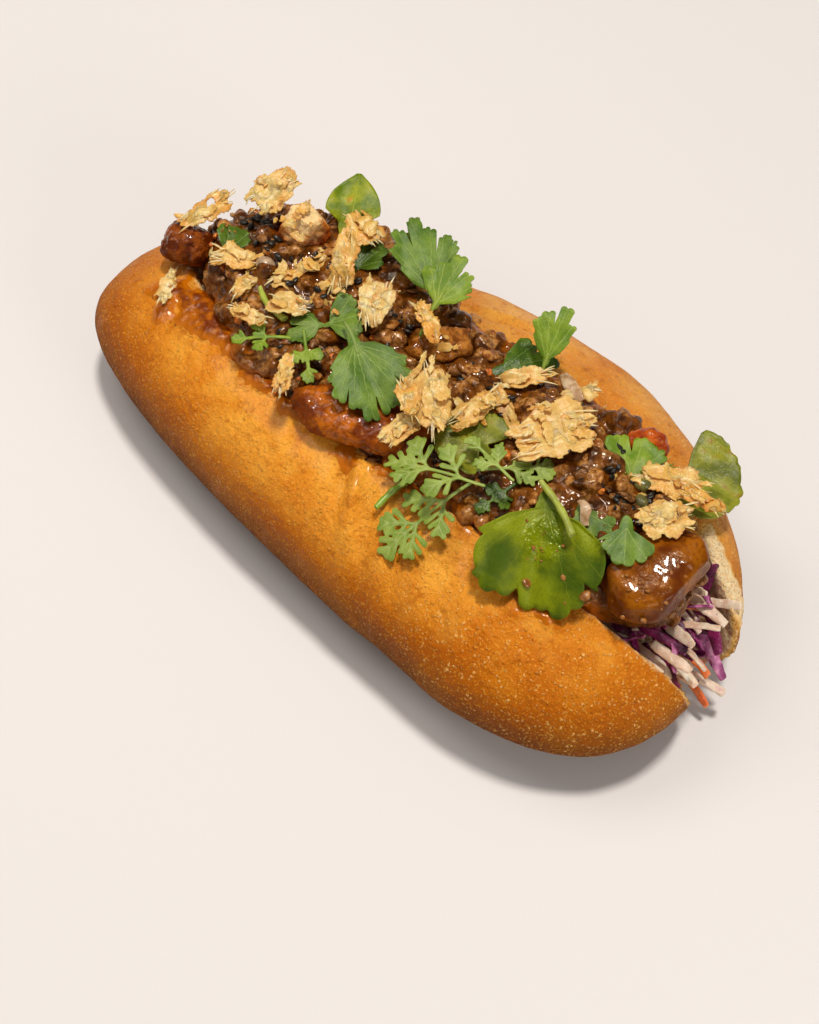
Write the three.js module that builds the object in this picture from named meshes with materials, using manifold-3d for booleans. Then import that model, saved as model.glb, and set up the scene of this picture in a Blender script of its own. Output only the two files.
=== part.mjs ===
// A banh mi sandwich: a long split roll, filled with slaw, glazed pork and relish, and topped
// with coriander and crisp fried flakes. Millimetres, +Z up. +X points along the roll to its open
// end, +Y to the far half of the bread, and the roll rests on Z = 0.

import * as THREE from 'three'
import { mergeVertices } from 'three/addons/utils/BufferGeometryUtils.js'
import Module from 'manifold-3d'

const wasm = await Module()
wasm.setup()

// ---------------------------------------------------------------- driving dimensions

const GAP = 0.3 // clear space between neighbouring pieces
const SINK = 1.5 // how far a leaf or a flake presses into the relish
const HIGHEST = 90 // pieces are lowered onto the pile from here
const DROP_STEP = 0.1

const ROLL = {
  leftEnd: -114, // the closed tip
  rightEnd: 124, // the open end
  tipY: -3, // where the centre line of the roll meets its tips
  near: { widest: 60, reach: 53, left: [1.05, 2.8], right: [2.5, 2.4], rightEnd: 121.5 },
  far: { widest: 32, reach: 73.5, left: [1.7, 2.1], right: [1.7, 2], rightEnd: 124 },
  height: 52,
  belly: 22, // height at which a section is widest
  heightFall: [2.2, 2.4], // how the height closes at both tips
  roundness: 0.85, // power of the section's sines, below 1 for a fuller loaf
  rings: 34,
  sides: 32,
}

const SLOT = {
  leftEnd: -98,
  rightEnd: 150, // beyond the roll, so the slot runs out through its open end
  leftY: 13, // where both lips meet at the closed end
  nearLip: -16,
  nearCloses: { from: -20, power: 1.6 },
  farLip: 42,
  farCloses: { from: 10, power: 3 },
  openEndFarLip: 15,
  opens: { from: 60, over: 60, power: 1.3 }, // how the far lip swings in towards the open end
  floor: 9.5, // thickness of the hinge of bread under the filling
  floorRise: { from: -45, over: 50, by: 40 }, // the slot gets shallow towards the closed end
  rim: 56, // height at which the slot is widest
  above: 24, // how far the cut reaches above its rim
  leftRound: [30, 2],
  roundness: 0.9,
  rings: 22,
  sides: 20,
}

const SLAW = {
  leftEnd: -78,
  rightEnd: 110,
  middle: 10,
  top: 27,
  spread: 4, // it presses this far under both lips
  ends: [8, 2],
  rings: 14,
  sides: 14,
}

// shreds that hang out of the open end
const SHREDS = [
  { from: [92, 14, 28], to: [116, 11, 32], bow: 3, width: 3.6, thick: 2.2 },
  { from: [97, 24, 26], to: [103, 22, 41], bow: 0, width: 2.8, thick: 1.4 },
  { from: [100, 12, 26], to: [117, 18, 33], bow: 3, width: 2.6, thick: 1.6 },
  { from: [92, 8, 30], to: [111, -1, 33], bow: 4, width: 3, thick: 2 },
  { from: [90, 4, 26], to: [118, -3, 26], bow: 6, width: 4, thick: 2 },
  { from: [98, 4, 22], to: [119, -1, 19], bow: 5, width: 3, thick: 2 },
  { from: [98, 12, 22], to: [124, 4, 14], bow: 9, width: 3.6, thick: 1.6 },
  { from: [100, 8, 16], to: [116, 5, 18], bow: 2, width: 3, thick: 1.8 },
  { from: [98, -4, 15], to: [126, 1, 11], bow: 5, width: 3.2, thick: 3 },
  { from: [98, 2, 14], to: [124, -3, 7], bow: 5, width: 2.6, thick: 2.4 },
  { from: [98, 14, 30], to: [106, 13, 38], bow: 2, width: 2.2, thick: 2 },
  { from: [94, -6, 24], to: [112, -11, 27], bow: 3, width: 3, thick: 1.6 },
]

const MOUND = {
  leftEnd: -92,
  rightEnd: 106,
  base: 40, // height at which the mound is widest
  under: 9, // how far it reaches down into the slaw
  top: 56,
  heap: { at: -55, width: 32, height: 6 }, // the highest stretch
  slump: { from: 88, over: 20, by: 14 }, // how it falls away at the open end
  spill: { from: -5, over: 20, by: 13 }, // how far it lies over the far lip
  ends: [6, 2],
  crown: 0.7, // below 1 for a flatter top
  flank: 0.8,
  rings: 20,
  sides: 20,
}

const BITS = { count: 46, smallest: 4, largest: 8, showing: 0.85 } // chopped bits in the relish
const SEEDS = { count: 26, size: [3.2, 2.1, 1.8] } // black sesame on it

const LEAF = { thickness: 0.9, cup: 0.012, droop: 0.008, wave: 0.5 }
const FLAKE = { thickness: 1.2, corners: 11, wave: 0.4, droop: 0.4 }
const STEM = { width: 1.6, radius: 1.1 } // a flat leaf stalk's width, a cut stem's radius

const CRUST = 0xc98a3c
const CABBAGE = 0xe6dcc8
const RELISH = 0x5c3418
const GLAZED = 0x6e2f12
const CRISP = 0xd9973f
const GREEN = 0x4c8a2c
const DEEP_GREEN = 0x3b6b1c
const FRIED = 0xe6bd6c

// Each piece lies at a place and is turned from +X about +Z, degrees. It may be pitched up at its
// tip, banked to its side, and sink into the soft relish.

const PORK = [
  { name: 'pork_end', size: [16, 13, 12], at: [-90, 11], turn: 19, sink: 6 },
  { name: 'pork_lip', size: [42, 18, 9], at: [-3, -10], turn: 18, bank: 6, sink: 8 },
  { name: 'pork_open', size: [34, 22, 16], at: [94, 3], turn: 76, bank: 4, sink: 7 },
  { name: 'pork_back', size: [13, 10, 8], at: [68, 37], turn: 17, sink: 4 },
  { name: 'pork_middle', size: [20, 12, 9], at: [-1, 26], turn: 38, sink: 6 },
  { name: 'crackling', size: [17, 15, 13], at: [-59, 32], turn: 63, sink: 4, colour: CRISP },
]

// coriander, from the lowest leaf to the highest
const LEAVES = [
  { name: 'leaf_under', at: [30, 4], turn: 176, length: 14, fingers: 4, spread: 250, notch: 0.2,
    heel: 6 },
  { name: 'leaf_cup_a', at: [66, 6], turn: -52, length: 13, fingers: 4, spread: 150, notch: 0.25,
    heel: 4 },
  { name: 'leaf_cup_b', at: [81, 4], turn: -59, length: 12, fingers: 3, spread: 110, notch: 0.25,
    heel: 4 },
  { name: 'leaf_olive', at: [-50, 42], turn: 90, length: 13, fingers: 3, spread: 150, notch: 0.2,
    heel: 5, pitch: 20 },
  { name: 'leaf_wet', at: [-74, 13], turn: 104, length: 11, fingers: 2, spread: 90, notch: 0.15,
    heel: 3 },
  { name: 'leaf_pair', at: [-37, 31], turn: 93, length: 11, fingers: 4, spread: 130, notch: 0.35,
    pitch: 10 },
  { name: 'leaf_pale', at: [-22, 44], turn: 137, length: 16, fingers: 3, spread: 50, notch: 0.5,
    pitch: 55 },
  { name: 'leaf_back_left', at: [-11, 35], turn: 136, length: 24, fingers: 6, spread: 80, notch: 0.25,
    pitch: 20 },
  { name: 'leaf_back_right', at: [-7, 32], turn: 96, length: 16, fingers: 5, spread: 95, notch: 0.2,
    stem: 11, pitch: 24 },
  { name: 'leaf_lobed', at: [-33, 7], turn: -140, length: 10, fingers: 4, spread: 130, notch: 0.4,
    taper: 0.1 },
  { name: 'leaf_blade', at: [-31, 8], turn: 50, length: 14, fingers: 3, spread: 110, notch: 0.2,
    pitch: 15 },
  { name: 'sprig_left', at: [-41, -5], turn: -142, length: 12, fingers: 4, spread: 130, notch: 0.6,
    heel: 1, stem: 6 },
  { name: 'sprig_mid', at: [-31, -2], turn: -45, length: 12, fingers: 3, spread: 120, notch: 0.6,
    heel: 1, stem: 6 },
  { name: 'leaf_folded', at: [19, 31], turn: 59, length: 18, fingers: 3, spread: 75, notch: 0.2,
    heel: 4 },
  { name: 'leaf_upright', at: [29, 40], turn: 112, length: 17, fingers: 4, spread: 70, notch: 0.4,
    pitch: 34, stem: 5 },
  { name: 'frond_far', at: [41, 2], turn: 40, length: 17, fingers: 2, spread: 40, notch: 0.6, heel: 1,
    stem: 8 },
  { name: 'frond_low', at: [46, -1], turn: -105, length: 12, fingers: 3, spread: 75, notch: 0.5,
    heel: 1, stem: 8 },
  { name: 'frond_lower', at: [35, -15], turn: -108, length: 26, fingers: 7, spread: 78, notch: 0.4,
    stem: 8, pitch: -12 },
  { name: 'frond_upper', at: [36, -8], turn: -163, length: 24, fingers: 6, spread: 74, notch: 0.45,
    stem: 6 },
  { name: 'frond_right', at: [42, -3], turn: 168, length: 15, fingers: 3, spread: 80, notch: 0.5,
    stem: 5, heel: 1 },
  { name: 'leaf_large', at: [57, -3], turn: -62, length: 32, fingers: 5, spread: 100, notch: 0.1,
    taper: 0.05, heel: 6, pitch: -14, rings: 2 },
  { name: 'leaf_small', at: [72, 24], turn: 108, length: 14, fingers: 3, spread: 100, notch: 0.45,
    taper: 0.1, pitch: 12 },
  { name: 'leaf_round', at: [83, 37], turn: 10, length: 17, fingers: 5, spread: 190, notch: 0.1,
    taper: 0.1, heel: 6 },
  { name: 'leaf_fan', at: [-17, 5], turn: -32, length: 25, fingers: 8, spread: 106, notch: 0.18,
    taper: 0.42, heel: 4, stem: 9, rings: 2 },
]

const STEMS = [
  { name: 'stem_crust', at: [18, -23], turn: 80, length: 12, bow: 1 },
  { name: 'stem_pale', at: [-49, 5], turn: -19, length: 15, bow: -3 },
  { name: 'stem_large', at: [62, -3], turn: -28, length: 20, bow: 2 },
]

// crisp fried flakes, from the lowest to the highest
const FLAKES = [
  { name: 'flake_crust', at: [-87, -4], turn: 119, length: 13, width: 6, curl: 0.03 },
  { name: 'flake_lip', at: [-28, -15], turn: 114, length: 13, width: 5, curl: 0.05 },
  { name: 'flake_left_curved', at: [-50, -4], turn: 5, length: 13, width: 5, curl: -0.05 },
  { name: 'flake_left_veil', at: [-61, 5], turn: 86, length: 12, width: 6, curl: 0.04 },
  { name: 'flake_left_fold', at: [-68, 11], turn: 27, length: 15, width: 8, curl: 0.05 },
  { name: 'flake_tip', at: [-90, 20], turn: 70, length: 18, width: 9, curl: -0.03, pitch: 12 },
  { name: 'flake_tip_back', at: [-71, 32], turn: 75, length: 17, width: 13, curl: -0.03, pitch: 14 },
  { name: 'flake_left_strip', at: [-49, 18], turn: 69, length: 20, width: 5, curl: -0.02 },
  { name: 'flake_crown', at: [-44, 6], turn: 30, length: 12, width: 9, curl: 0.06 },
  { name: 'flake_back', at: [-42, 42], turn: 159, length: 13, width: 12, curl: -0.03 },
  { name: 'flake_tall', at: [-39, 27], turn: 115, length: 20, width: 8, curl: 0.04, pitch: 24 },
  { name: 'flake_crumpled', at: [-22, 21], turn: 115, length: 15, width: 12, curl: 0.05 },
  { name: 'flake_husk', at: [-8, 26], turn: -25, length: 13, width: 6, curl: 0.08 },
  { name: 'flake_near', at: [10, -7], turn: 78, length: 14, width: 8, curl: 0.04 },
  { name: 'flake_gold', at: [8, 0], turn: 140, length: 14, width: 7, curl: 0.05 },
  { name: 'flake_big', at: [13, 3], turn: 135, length: 25, width: 12, curl: 0.03, pitch: 8 },
  { name: 'flake_middle', at: [24, 11], turn: 69, length: 18, width: 8, curl: -0.04 },
  { name: 'flake_hanging', at: [30, 18], turn: -33, length: 20, width: 5, curl: -0.03 },
  { name: 'flake_ridge', at: [28, 30], turn: 40, length: 18, width: 7, curl: 0.04, pitch: 10 },
  { name: 'flake_curl', at: [42, 39], turn: 56, length: 12, width: 5, curl: -0.08 },
  { name: 'flake_broad', at: [45, 20], turn: 60, length: 25, width: 20, curl: 0.015, pitch: -6 },
  { name: 'flake_open', at: [88, 15], turn: 38, length: 15, width: 13, curl: -0.03 },
  { name: 'flake_open_back', at: [81, 29], turn: 17, length: 20, width: 10, curl: 0.03, pitch: -8 },
  { name: 'flake_strip', at: [92, 29], turn: 0, length: 13, width: 5, curl: -0.05 },
]

const FIRST_FLAKE_SEED = 40

// ---------------------------------------------------------------- shapes and solids

const clamp = (value, low = 0, high = 1) => Math.min(Math.max(value, low), high)
const mix = (a, b, share) => a + (b - a) * share
const signedPower = (value, power) => Math.sign(value) * Math.abs(value) ** power
const radians = THREE.MathUtils.degToRad
const degrees = THREE.MathUtils.radToDeg

/** Full at share 0 and closed at share 1; the two powers set how round the closing is. */
const closing = (share, [inner, outer]) => (1 - clamp(share) ** inner) ** (1 / outer)

/** Random numbers from 0 to 1, the same ones for the same seed. */
function dice(seed) {
  let state = seed
  return () => {
    state = (state * 1664525 + 1013904223) % 4294967296
    return state / 4294967296
  }
}

/** Closed skin of cross sections along X. place(along, turn) gives a point, along from -1 to 1. */
function loft(place, rings, sides) {
  const skin = new THREE.SphereGeometry(1, sides, rings)
  skin.rotateZ(-Math.PI / 2)
  const points = skin.attributes.position
  for (let i = 0; i < points.count; i++) {
    const turn = Math.atan2(points.getZ(i), points.getY(i))
    points.setXYZ(i, ...place(clamp(points.getX(i), -1, 1), turn))
  }
  return skin
}

/** A closed geometry as a solid that can be joined and cut. */
function solid(geometry) {
  const bare = geometry.clone()
  bare.deleteAttribute('normal')
  bare.deleteAttribute('uv')
  const merged = mergeVertices(bare, 1e-4)
  const vertProperties = new Float32Array(merged.attributes.position.array)
  const triVerts = new Uint32Array(merged.index.array)
  return new wasm.Manifold(new wasm.Mesh({ numProp: 3, vertProperties, triVerts }))
}

/** A solid back as a geometry. */
function geometryOf(body) {
  const { vertProperties, triVerts } = body.getMesh()
  const geometry = new THREE.BufferGeometry()
  geometry.setAttribute('position', new THREE.BufferAttribute(vertProperties, 3))
  geometry.setIndex(new THREE.BufferAttribute(triVerts, 1))
  geometry.computeVertexNormals()
  return geometry
}

const overlaps = (a, b) => !a.intersect(b).isEmpty()

/** The largest body of a solid that cutting has split. */
function largest(body) {
  return body.decompose().reduce((kept, scrap) => (scrap.volume() > kept.volume() ? scrap : kept))
}

const sandwich = new THREE.Group()

function addPiece(name, body, colour, roughness) {
  const material = new THREE.MeshStandardMaterial({ color: colour, roughness, metalness: 0 })
  const mesh = new THREE.Mesh(geometryOf(body), material)
  mesh.name = name
  sandwich.add(mesh)
}

// ---------------------------------------------------------------- bread roll

/** How far one side of the roll reaches from its centre line at x. */
function sideReach(side, x) {
  const end = x < side.widest ? ROLL.leftEnd : side.rightEnd
  const powers = x < side.widest ? side.left : side.right
  return side.reach * closing((x - side.widest) / (end - side.widest), powers)
}

/** A point of the crust. The section is a rounded loaf, flat where it rests. */
function crustPoint(along, turn, grow = 0) {
  const x = mix(ROLL.leftEnd - grow, ROLL.rightEnd + grow, (along + 1) / 2)
  const side = Math.cos(turn) < 0 ? ROLL.near : ROLL.far
  const tall = closing(Math.abs(along), ROLL.heightFall)
  const across = signedPower(Math.cos(turn), ROLL.roundness)
  const lift = signedPower(Math.sin(turn), ROLL.roundness)
  const crown = (ROLL.height - ROLL.belly) * tall
  const z = lift > 0 ? ROLL.belly + crown * lift : ROLL.belly * (1 + 1.08 * tall * lift)
  return [x, ROLL.tipY + sideReach(side, x) * across + grow * across, Math.max(z, 0) + grow * lift]
}

/** Where the two lips of the slot run at x. */
function lips(x) {
  const { nearCloses, farCloses, opens } = SLOT
  const nearClosed = clamp((nearCloses.from - x) / (nearCloses.from - SLOT.leftEnd)) ** nearCloses.power
  const farClosed = clamp((farCloses.from - x) / (farCloses.from - SLOT.leftEnd)) ** farCloses.power
  const opened = clamp((x - opens.from) / opens.over) ** opens.power
  const near = mix(SLOT.nearLip, SLOT.leftY, nearClosed)
  const far = mix(mix(SLOT.farLip, SLOT.leftY, farClosed), SLOT.openEndFarLip, opened)
  return [near, far]
}

/** A point of the slot's wall, drawn in by inset. */
function slotPoint(along, turn, inset = 0) {
  const x = mix(SLOT.leftEnd + inset, SLOT.rightEnd, (along + 1) / 2)
  const [near, far] = lips(x)
  const half = Math.max((far - near) / 2 - inset, 0) * closing(along, SLOT.leftRound)
  const { from, over, by } = SLOT.floorRise
  const floor = SLOT.floor + inset + by * clamp((from - x) / over) ** 2
  const depth = Math.sin(turn) < 0 ? SLOT.rim - floor : SLOT.above
  const y = (near + far) / 2 + half * signedPower(Math.cos(turn), SLOT.roundness)
  return [x, y, SLOT.rim + depth * signedPower(Math.sin(turn), SLOT.roundness)]
}

const crust = solid(loft(crustPoint, ROLL.rings, ROLL.sides))
const slot = solid(loft(slotPoint, SLOT.rings, SLOT.sides))
const roll = crust.subtract(slot)
addPiece('bread_roll', roll, CRUST, 0.55)

// the bread with clear space all round, to trim the filling
const slotSpace = solid(loft((along, turn) => slotPoint(along, turn, GAP), SLOT.rings, SLOT.sides))
const grownCrust = solid(loft((along, turn) => crustPoint(along, turn, GAP), ROLL.rings, ROLL.sides))
const grownRoll = grownCrust.subtract(slotSpace)

// ---------------------------------------------------------------- slaw

/** A shred: a flat strip bowed between its two ends. */
function shred({ from, to, bow, width, thick }, grow = 0) {
  const start = new THREE.Vector3(...from)
  const end = new THREE.Vector3(...to)
  const middle = start.clone().lerp(end, 0.5).add(new THREE.Vector3(0, 0, bow))
  const path = new THREE.QuadraticBezierCurve3(start, middle, end)
  const [w, t] = [width / 2 + grow, thick / 2 + grow]
  const section = new THREE.Shape([[-t, -w], [t, -w], [t, w], [-t, w]].map((p) => new THREE.Vector2(...p)))
  return solid(new THREE.ExtrudeGeometry(section, { steps: 4, bevelEnabled: false, extrudePath: path }))
}

const slawCore = solid(loft((along, turn) => {
  const x = mix(SLAW.leftEnd, SLAW.rightEnd, (along + 1) / 2)
  const [near, far] = lips(x)
  const round = closing(Math.abs(along), SLAW.ends)
  const half = ((far - near) / 2 + SLAW.spread) * round
  const tall = (SLAW.top - SLAW.middle) * round
  return [x, (near + far) / 2 + half * Math.cos(turn), SLAW.middle + tall * Math.sin(turn)]
}, SLAW.rings, SLAW.sides)).intersect(slotSpace)

const joinShreds = (grow) => wasm.Manifold.union(SHREDS.map((strip) => shred(strip, grow)))
const slaw = largest(slawCore.add(joinShreds(0)).subtract(grownRoll))
addPiece('slaw', slaw, CABBAGE, 0.5)

// ---------------------------------------------------------------- relish mound, before it is trimmed

/** Middle, half width and top of the mound at x. */
function moundMiddle(x) {
  const { heap, slump, spill } = MOUND
  const [near, lip] = lips(x)
  const far = lip + spill.by * clamp((spill.from - x) / spill.over)
  const heaped = heap.height * Math.exp(-(((x - heap.at) / heap.width) ** 2))
  const slumped = slump.by * clamp((x - slump.from) / slump.over) ** 2
  return { y: (near + far) / 2, half: (far - near) / 2, top: MOUND.top + heaped - slumped }
}

const mound = solid(loft((along, turn) => {
  const x = mix(MOUND.leftEnd, MOUND.rightEnd, (along + 1) / 2)
  const { y, half, top } = moundMiddle(x)
  const round = closing(Math.abs(along), MOUND.ends)
  const height = Math.sin(turn) > 0 ? top - MOUND.base : MOUND.under
  const across = half * signedPower(Math.cos(turn), MOUND.flank)
  return [x, y + across * round, MOUND.base + height * round * signedPower(Math.sin(turn), MOUND.crown)]
}, MOUND.rings, MOUND.sides)).subtract(grownRoll)

/** Height of the mound at a place. */
function moundHeight(x, y) {
  const { y: middle, half, top } = moundMiddle(x)
  const across = clamp(Math.abs(y - middle) / half) ** (1 / MOUND.flank)
  return MOUND.base + (top - MOUND.base) * Math.sqrt(1 - across ** 2) ** MOUND.crown
}

// ---------------------------------------------------------------- pieces laid on the pile

let laid = roll.add(slaw) // what later pieces rest on
const pressed = [] // the pieces with clear space round them, which the relish makes room for

/** Lowers a piece until it touches. It may sink into the soft relish. */
function rest(name, shape, { at: [x, y], turn = 0, pitch = 0, bank = 0, sink = SINK, colour, roughness }) {
  const turned = (grow) => {
    const geometry = shape(grow)
    geometry.rotateX(radians(bank))
    geometry.rotateY(-radians(pitch))
    geometry.rotateZ(radians(turn))
    geometry.translate(x, y, 0)
    return solid(geometry)
  }
  const grown = turned(GAP)
  let [low, high] = [0, HIGHEST]
  while (high - low > DROP_STEP) {
    const z = (low + high) / 2
    const lifted = grown.translate([0, 0, z])
    const blocked = overlaps(lifted, laid) || overlaps(lifted.translate([0, 0, sink]), mound)
    if (blocked) low = z
    else high = z
  }
  const piece = turned(0).translate([0, 0, high])
  laid = laid.add(piece)
  pressed.push(grown.translate([0, 0, high]))
  addPiece(name, piece, colour, roughness)
}

/** A rounded block with a lumpy skin. */
function chunk([length, width, height], seed, grow) {
  const block = new THREE.IcosahedronGeometry(1, 2)
  const points = block.attributes.position
  const direction = new THREE.Vector3()
  for (let i = 0; i < points.count; i++) {
    direction.fromBufferAttribute(points, i)
    const { x, y, z } = direction
    const square = (Math.abs(x) ** 3 + Math.abs(y) ** 3 + Math.abs(z) ** 3) ** (-1 / 3)
    const lump = 1 + 0.1 * Math.sin(4 * x + seed) * Math.sin(5 * y + 2 * seed)
    const reach = (square * (lump + 0.05 * Math.sin(7 * z + seed))) / 2
    points.setXYZ(i, x * (reach * length + grow), y * (reach * width + grow), z * (reach * height + grow))
  }
  return block
}

/** A thin sheet round its heart. The outline is a ring of [angle, reach]; bend gives its height. */
function sheet(outline, thickness, bend, rings, grow) {
  const count = outline.length
  const corners = []
  for (const face of [1, -1]) {
    corners.push([0, 0, bend(0, 0) + face * (thickness / 2 + grow)])
    for (let ring = 1; ring <= rings; ring++) {
      for (const [angle, reach] of outline) {
        const far = (reach + grow) * (ring / rings)
        const [u, v] = [far * Math.cos(radians(angle)), far * Math.sin(radians(angle))]
        corners.push([u, v, bend(u, v) + face * (thickness / 2 + grow)])
      }
    }
  }
  const faceSize = 1 + rings * count
  const triangles = []
  const addBoth = (a, b, c) => triangles.push([a, b, c], [a + faceSize, c + faceSize, b + faceSize])
  for (let i = 0; i < count; i++) {
    const next = (i + 1) % count
    addBoth(0, 1 + i, 1 + next)
    for (let ring = 1; ring < rings; ring++) {
      const [inner, outer] = [1 + (ring - 1) * count, 1 + ring * count]
      addBoth(inner + i, outer + i, outer + next)
      addBoth(inner + i, outer + next, inner + next)
    }
    const rim = 1 + (rings - 1) * count
    const below = faceSize + rim
    triangles.push([rim + i, below + i, below + next], [rim + i, below + next, rim + next])
  }
  const geometry = new THREE.BufferGeometry()
  geometry.setAttribute('position', new THREE.Float32BufferAttribute(corners.flat(), 3))
  geometry.setIndex(triangles.flat())
  return geometry
}

/** Outline of a leaf: rounded fingers fanned round its heart, a heel behind it and perhaps a stem. */
function leafOutline({ length, fingers, spread, notch, taper = 0.3, heel = 2, stem = 0, seed }) {
  const random = dice(seed)
  const outline = []
  const step = spread / fingers
  for (let finger = 0; finger < fingers; finger++) {
    const middle = (finger + 0.5) * step - spread / 2
    const reach = length * (1 - taper * (middle / (spread / 2)) ** 2) * (0.9 + 0.2 * random())
    for (const side of [-0.95, -0.55, 0, 0.55]) {
      const round = Math.sqrt(1 - side ** 2)
      outline.push([middle + (side * step) / 2, Math.max(reach * (1 - notch + notch * round), heel)])
    }
  }
  const behind = 360 - spread
  outline.push([spread / 2 + 0.1 * behind, heel])
  if (stem > 0) {
    const thin = degrees(Math.atan2(STEM.width / 2, stem))
    const thick = degrees(Math.atan2(STEM.width / 2, heel))
    outline.push([180 - thick, heel], [180 - thin, stem], [180 + thin, stem], [180 + thick, heel])
  } else {
    outline.push([180, heel])
  }
  outline.push([360 - spread / 2 - 0.1 * behind, heel])
  return outline
}

/** Outline of a fried flake: a long oval with broken edges. */
function flakeOutline({ length, width, seed }) {
  const random = dice(seed)
  return Array.from({ length: FLAKE.corners }, (_, corner) => {
    const angle = ((corner + 0.5 * random()) * 360) / FLAKE.corners
    const [c, s] = [Math.cos(radians(angle)), Math.sin(radians(angle))]
    return [angle, (0.72 + 0.5 * random()) / Math.hypot((2 * c) / length, (2 * s) / width)]
  })
}

// ---------------------------------------------------------------- pork, coriander and flakes

PORK.forEach(({ size, colour = GLAZED, ...place }, index) => {
  rest(place.name, (grow) => chunk(size, index + 1, grow), { ...place, colour, roughness: 0.25 })
})

LEAVES.forEach(({ rings = 1, ...leaf }, index) => {
  const outline = leafOutline({ ...leaf, seed: index + 1 })
  const bend = (u, v) => LEAF.cup * v * v - LEAF.droop * u * u + LEAF.wave * Math.sin(0.6 * v + index)
  const shape = (grow) => sheet(outline, LEAF.thickness, bend, rings, grow)
  rest(leaf.name, shape, { ...leaf, colour: GREEN, roughness: 0.45 })
})

/** A cut piece of stem, lying along X. */
function stem(length, bow, grow) {
  const ends = [-1, 1].map((end) => new THREE.Vector3(end * (length / 2 + grow), 0, 0))
  const path = new THREE.QuadraticBezierCurve3(ends[0], new THREE.Vector3(0, bow, 0), ends[1])
  const section = new THREE.Shape().absarc(0, 0, STEM.radius + grow, 0, 2 * Math.PI)
  const options = { steps: 5, curveSegments: 3, bevelEnabled: false, extrudePath: path }
  return new THREE.ExtrudeGeometry(section, options)
}

STEMS.forEach(({ name, length, bow, ...place }) => {
  rest(name, (grow) => stem(length, bow, grow), { ...place, colour: DEEP_GREEN, roughness: 0.4 })
})

FLAKES.forEach(({ curl, ...flake }, index) => {
  const outline = flakeOutline({ ...flake, seed: FIRST_FLAKE_SEED + index })
  const bend = (u, v) => curl * (v * v - FLAKE.droop * u * u) + FLAKE.wave * Math.sin(0.9 * u + index)
  const shape = (grow) => sheet(outline, FLAKE.thickness, bend, 1, grow)
  rest(flake.name, shape, { ...flake, colour: FRIED, roughness: 0.6 })
})

// ---------------------------------------------------------------- relish, trimmed round all that lies in it

/** A chopped bit or a seed in the top of the mound. */
function bit(random, [length, width, height], sink) {
  const shape = new THREE.IcosahedronGeometry(1, 0)
  shape.scale(length / 2, width / 2, height / 2)
  shape.rotateZ(2 * Math.PI * random())
  const x = mix(MOUND.leftEnd + BITS.largest, MOUND.rightEnd - BITS.largest, random())
  const { y: middle, half } = moundMiddle(x)
  const y = middle + BITS.showing * half * (2 * random() - 1)
  shape.translate(x, y, moundHeight(x, y) - sink)
  return solid(shape)
}

const random = dice(7)
const bits = Array.from({ length: BITS.count }, () => {
  const size = mix(BITS.smallest, BITS.largest, random())
  return bit(random, [size * 1.3, size, size * 0.8], 0.6)
})
const seeds = Array.from({ length: SEEDS.count }, () => bit(random, SEEDS.size, -0.2))
const taken = wasm.Manifold.union([...pressed, grownRoll, joinShreds(GAP)])
const relish = largest(wasm.Manifold.union([mound, ...bits, ...seeds]).subtract(taken))
addPiece('relish', relish, RELISH, 0.3)

// the origin is under the middle of the whole sandwich
const box = new THREE.Box3().setFromObject(sandwich)
const middle = box.getCenter(new THREE.Vector3())
sandwich.position.set(-middle.x, -middle.y, 0)

export default sandwich
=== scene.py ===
# A banh mi sandwich: a long split roll filled with slaw, glazed pork and a dark relish, and topped
# with coriander, crisp fried flakes and black sesame. Metres, +Z up; +X runs along the roll to its
# open end and +Y to the far half of the bread. Sizes in the sections are in millimetres, times MM.

import math
import random
from contextlib import contextmanager

import bpy
import numpy as np
from mathutils import Matrix, Vector, noise
from mathutils.bvhtree import BVHTree
from mathutils.kdtree import KDTree


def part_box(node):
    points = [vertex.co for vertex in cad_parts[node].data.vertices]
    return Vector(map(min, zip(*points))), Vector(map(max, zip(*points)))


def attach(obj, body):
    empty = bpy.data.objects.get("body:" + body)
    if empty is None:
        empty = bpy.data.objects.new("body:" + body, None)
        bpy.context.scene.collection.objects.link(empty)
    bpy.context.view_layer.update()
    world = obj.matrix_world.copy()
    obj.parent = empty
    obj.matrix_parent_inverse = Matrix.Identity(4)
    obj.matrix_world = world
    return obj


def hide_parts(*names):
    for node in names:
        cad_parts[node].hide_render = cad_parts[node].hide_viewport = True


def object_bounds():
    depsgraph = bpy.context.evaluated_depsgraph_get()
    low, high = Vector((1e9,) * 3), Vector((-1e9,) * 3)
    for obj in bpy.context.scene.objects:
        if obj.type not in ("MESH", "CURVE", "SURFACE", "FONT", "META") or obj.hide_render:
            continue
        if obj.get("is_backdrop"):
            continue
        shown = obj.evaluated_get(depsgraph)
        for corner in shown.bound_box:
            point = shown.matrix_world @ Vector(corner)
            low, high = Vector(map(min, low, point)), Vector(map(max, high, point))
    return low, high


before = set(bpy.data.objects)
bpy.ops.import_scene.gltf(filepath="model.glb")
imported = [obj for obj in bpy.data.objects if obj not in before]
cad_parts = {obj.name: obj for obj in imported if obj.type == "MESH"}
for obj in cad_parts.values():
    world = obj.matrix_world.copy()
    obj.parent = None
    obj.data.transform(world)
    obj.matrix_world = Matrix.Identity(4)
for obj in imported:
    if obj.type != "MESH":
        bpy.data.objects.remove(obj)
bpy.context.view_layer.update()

# ---------------------------------------------------------------- table, light and camera
# The sandwich stands alone on a plain pale table. A distant soft lamp behind it and a softbox over
# it are the key lights, panels in front and beside it fill the shadows, and the camera looks down.

MM = 0.001

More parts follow.
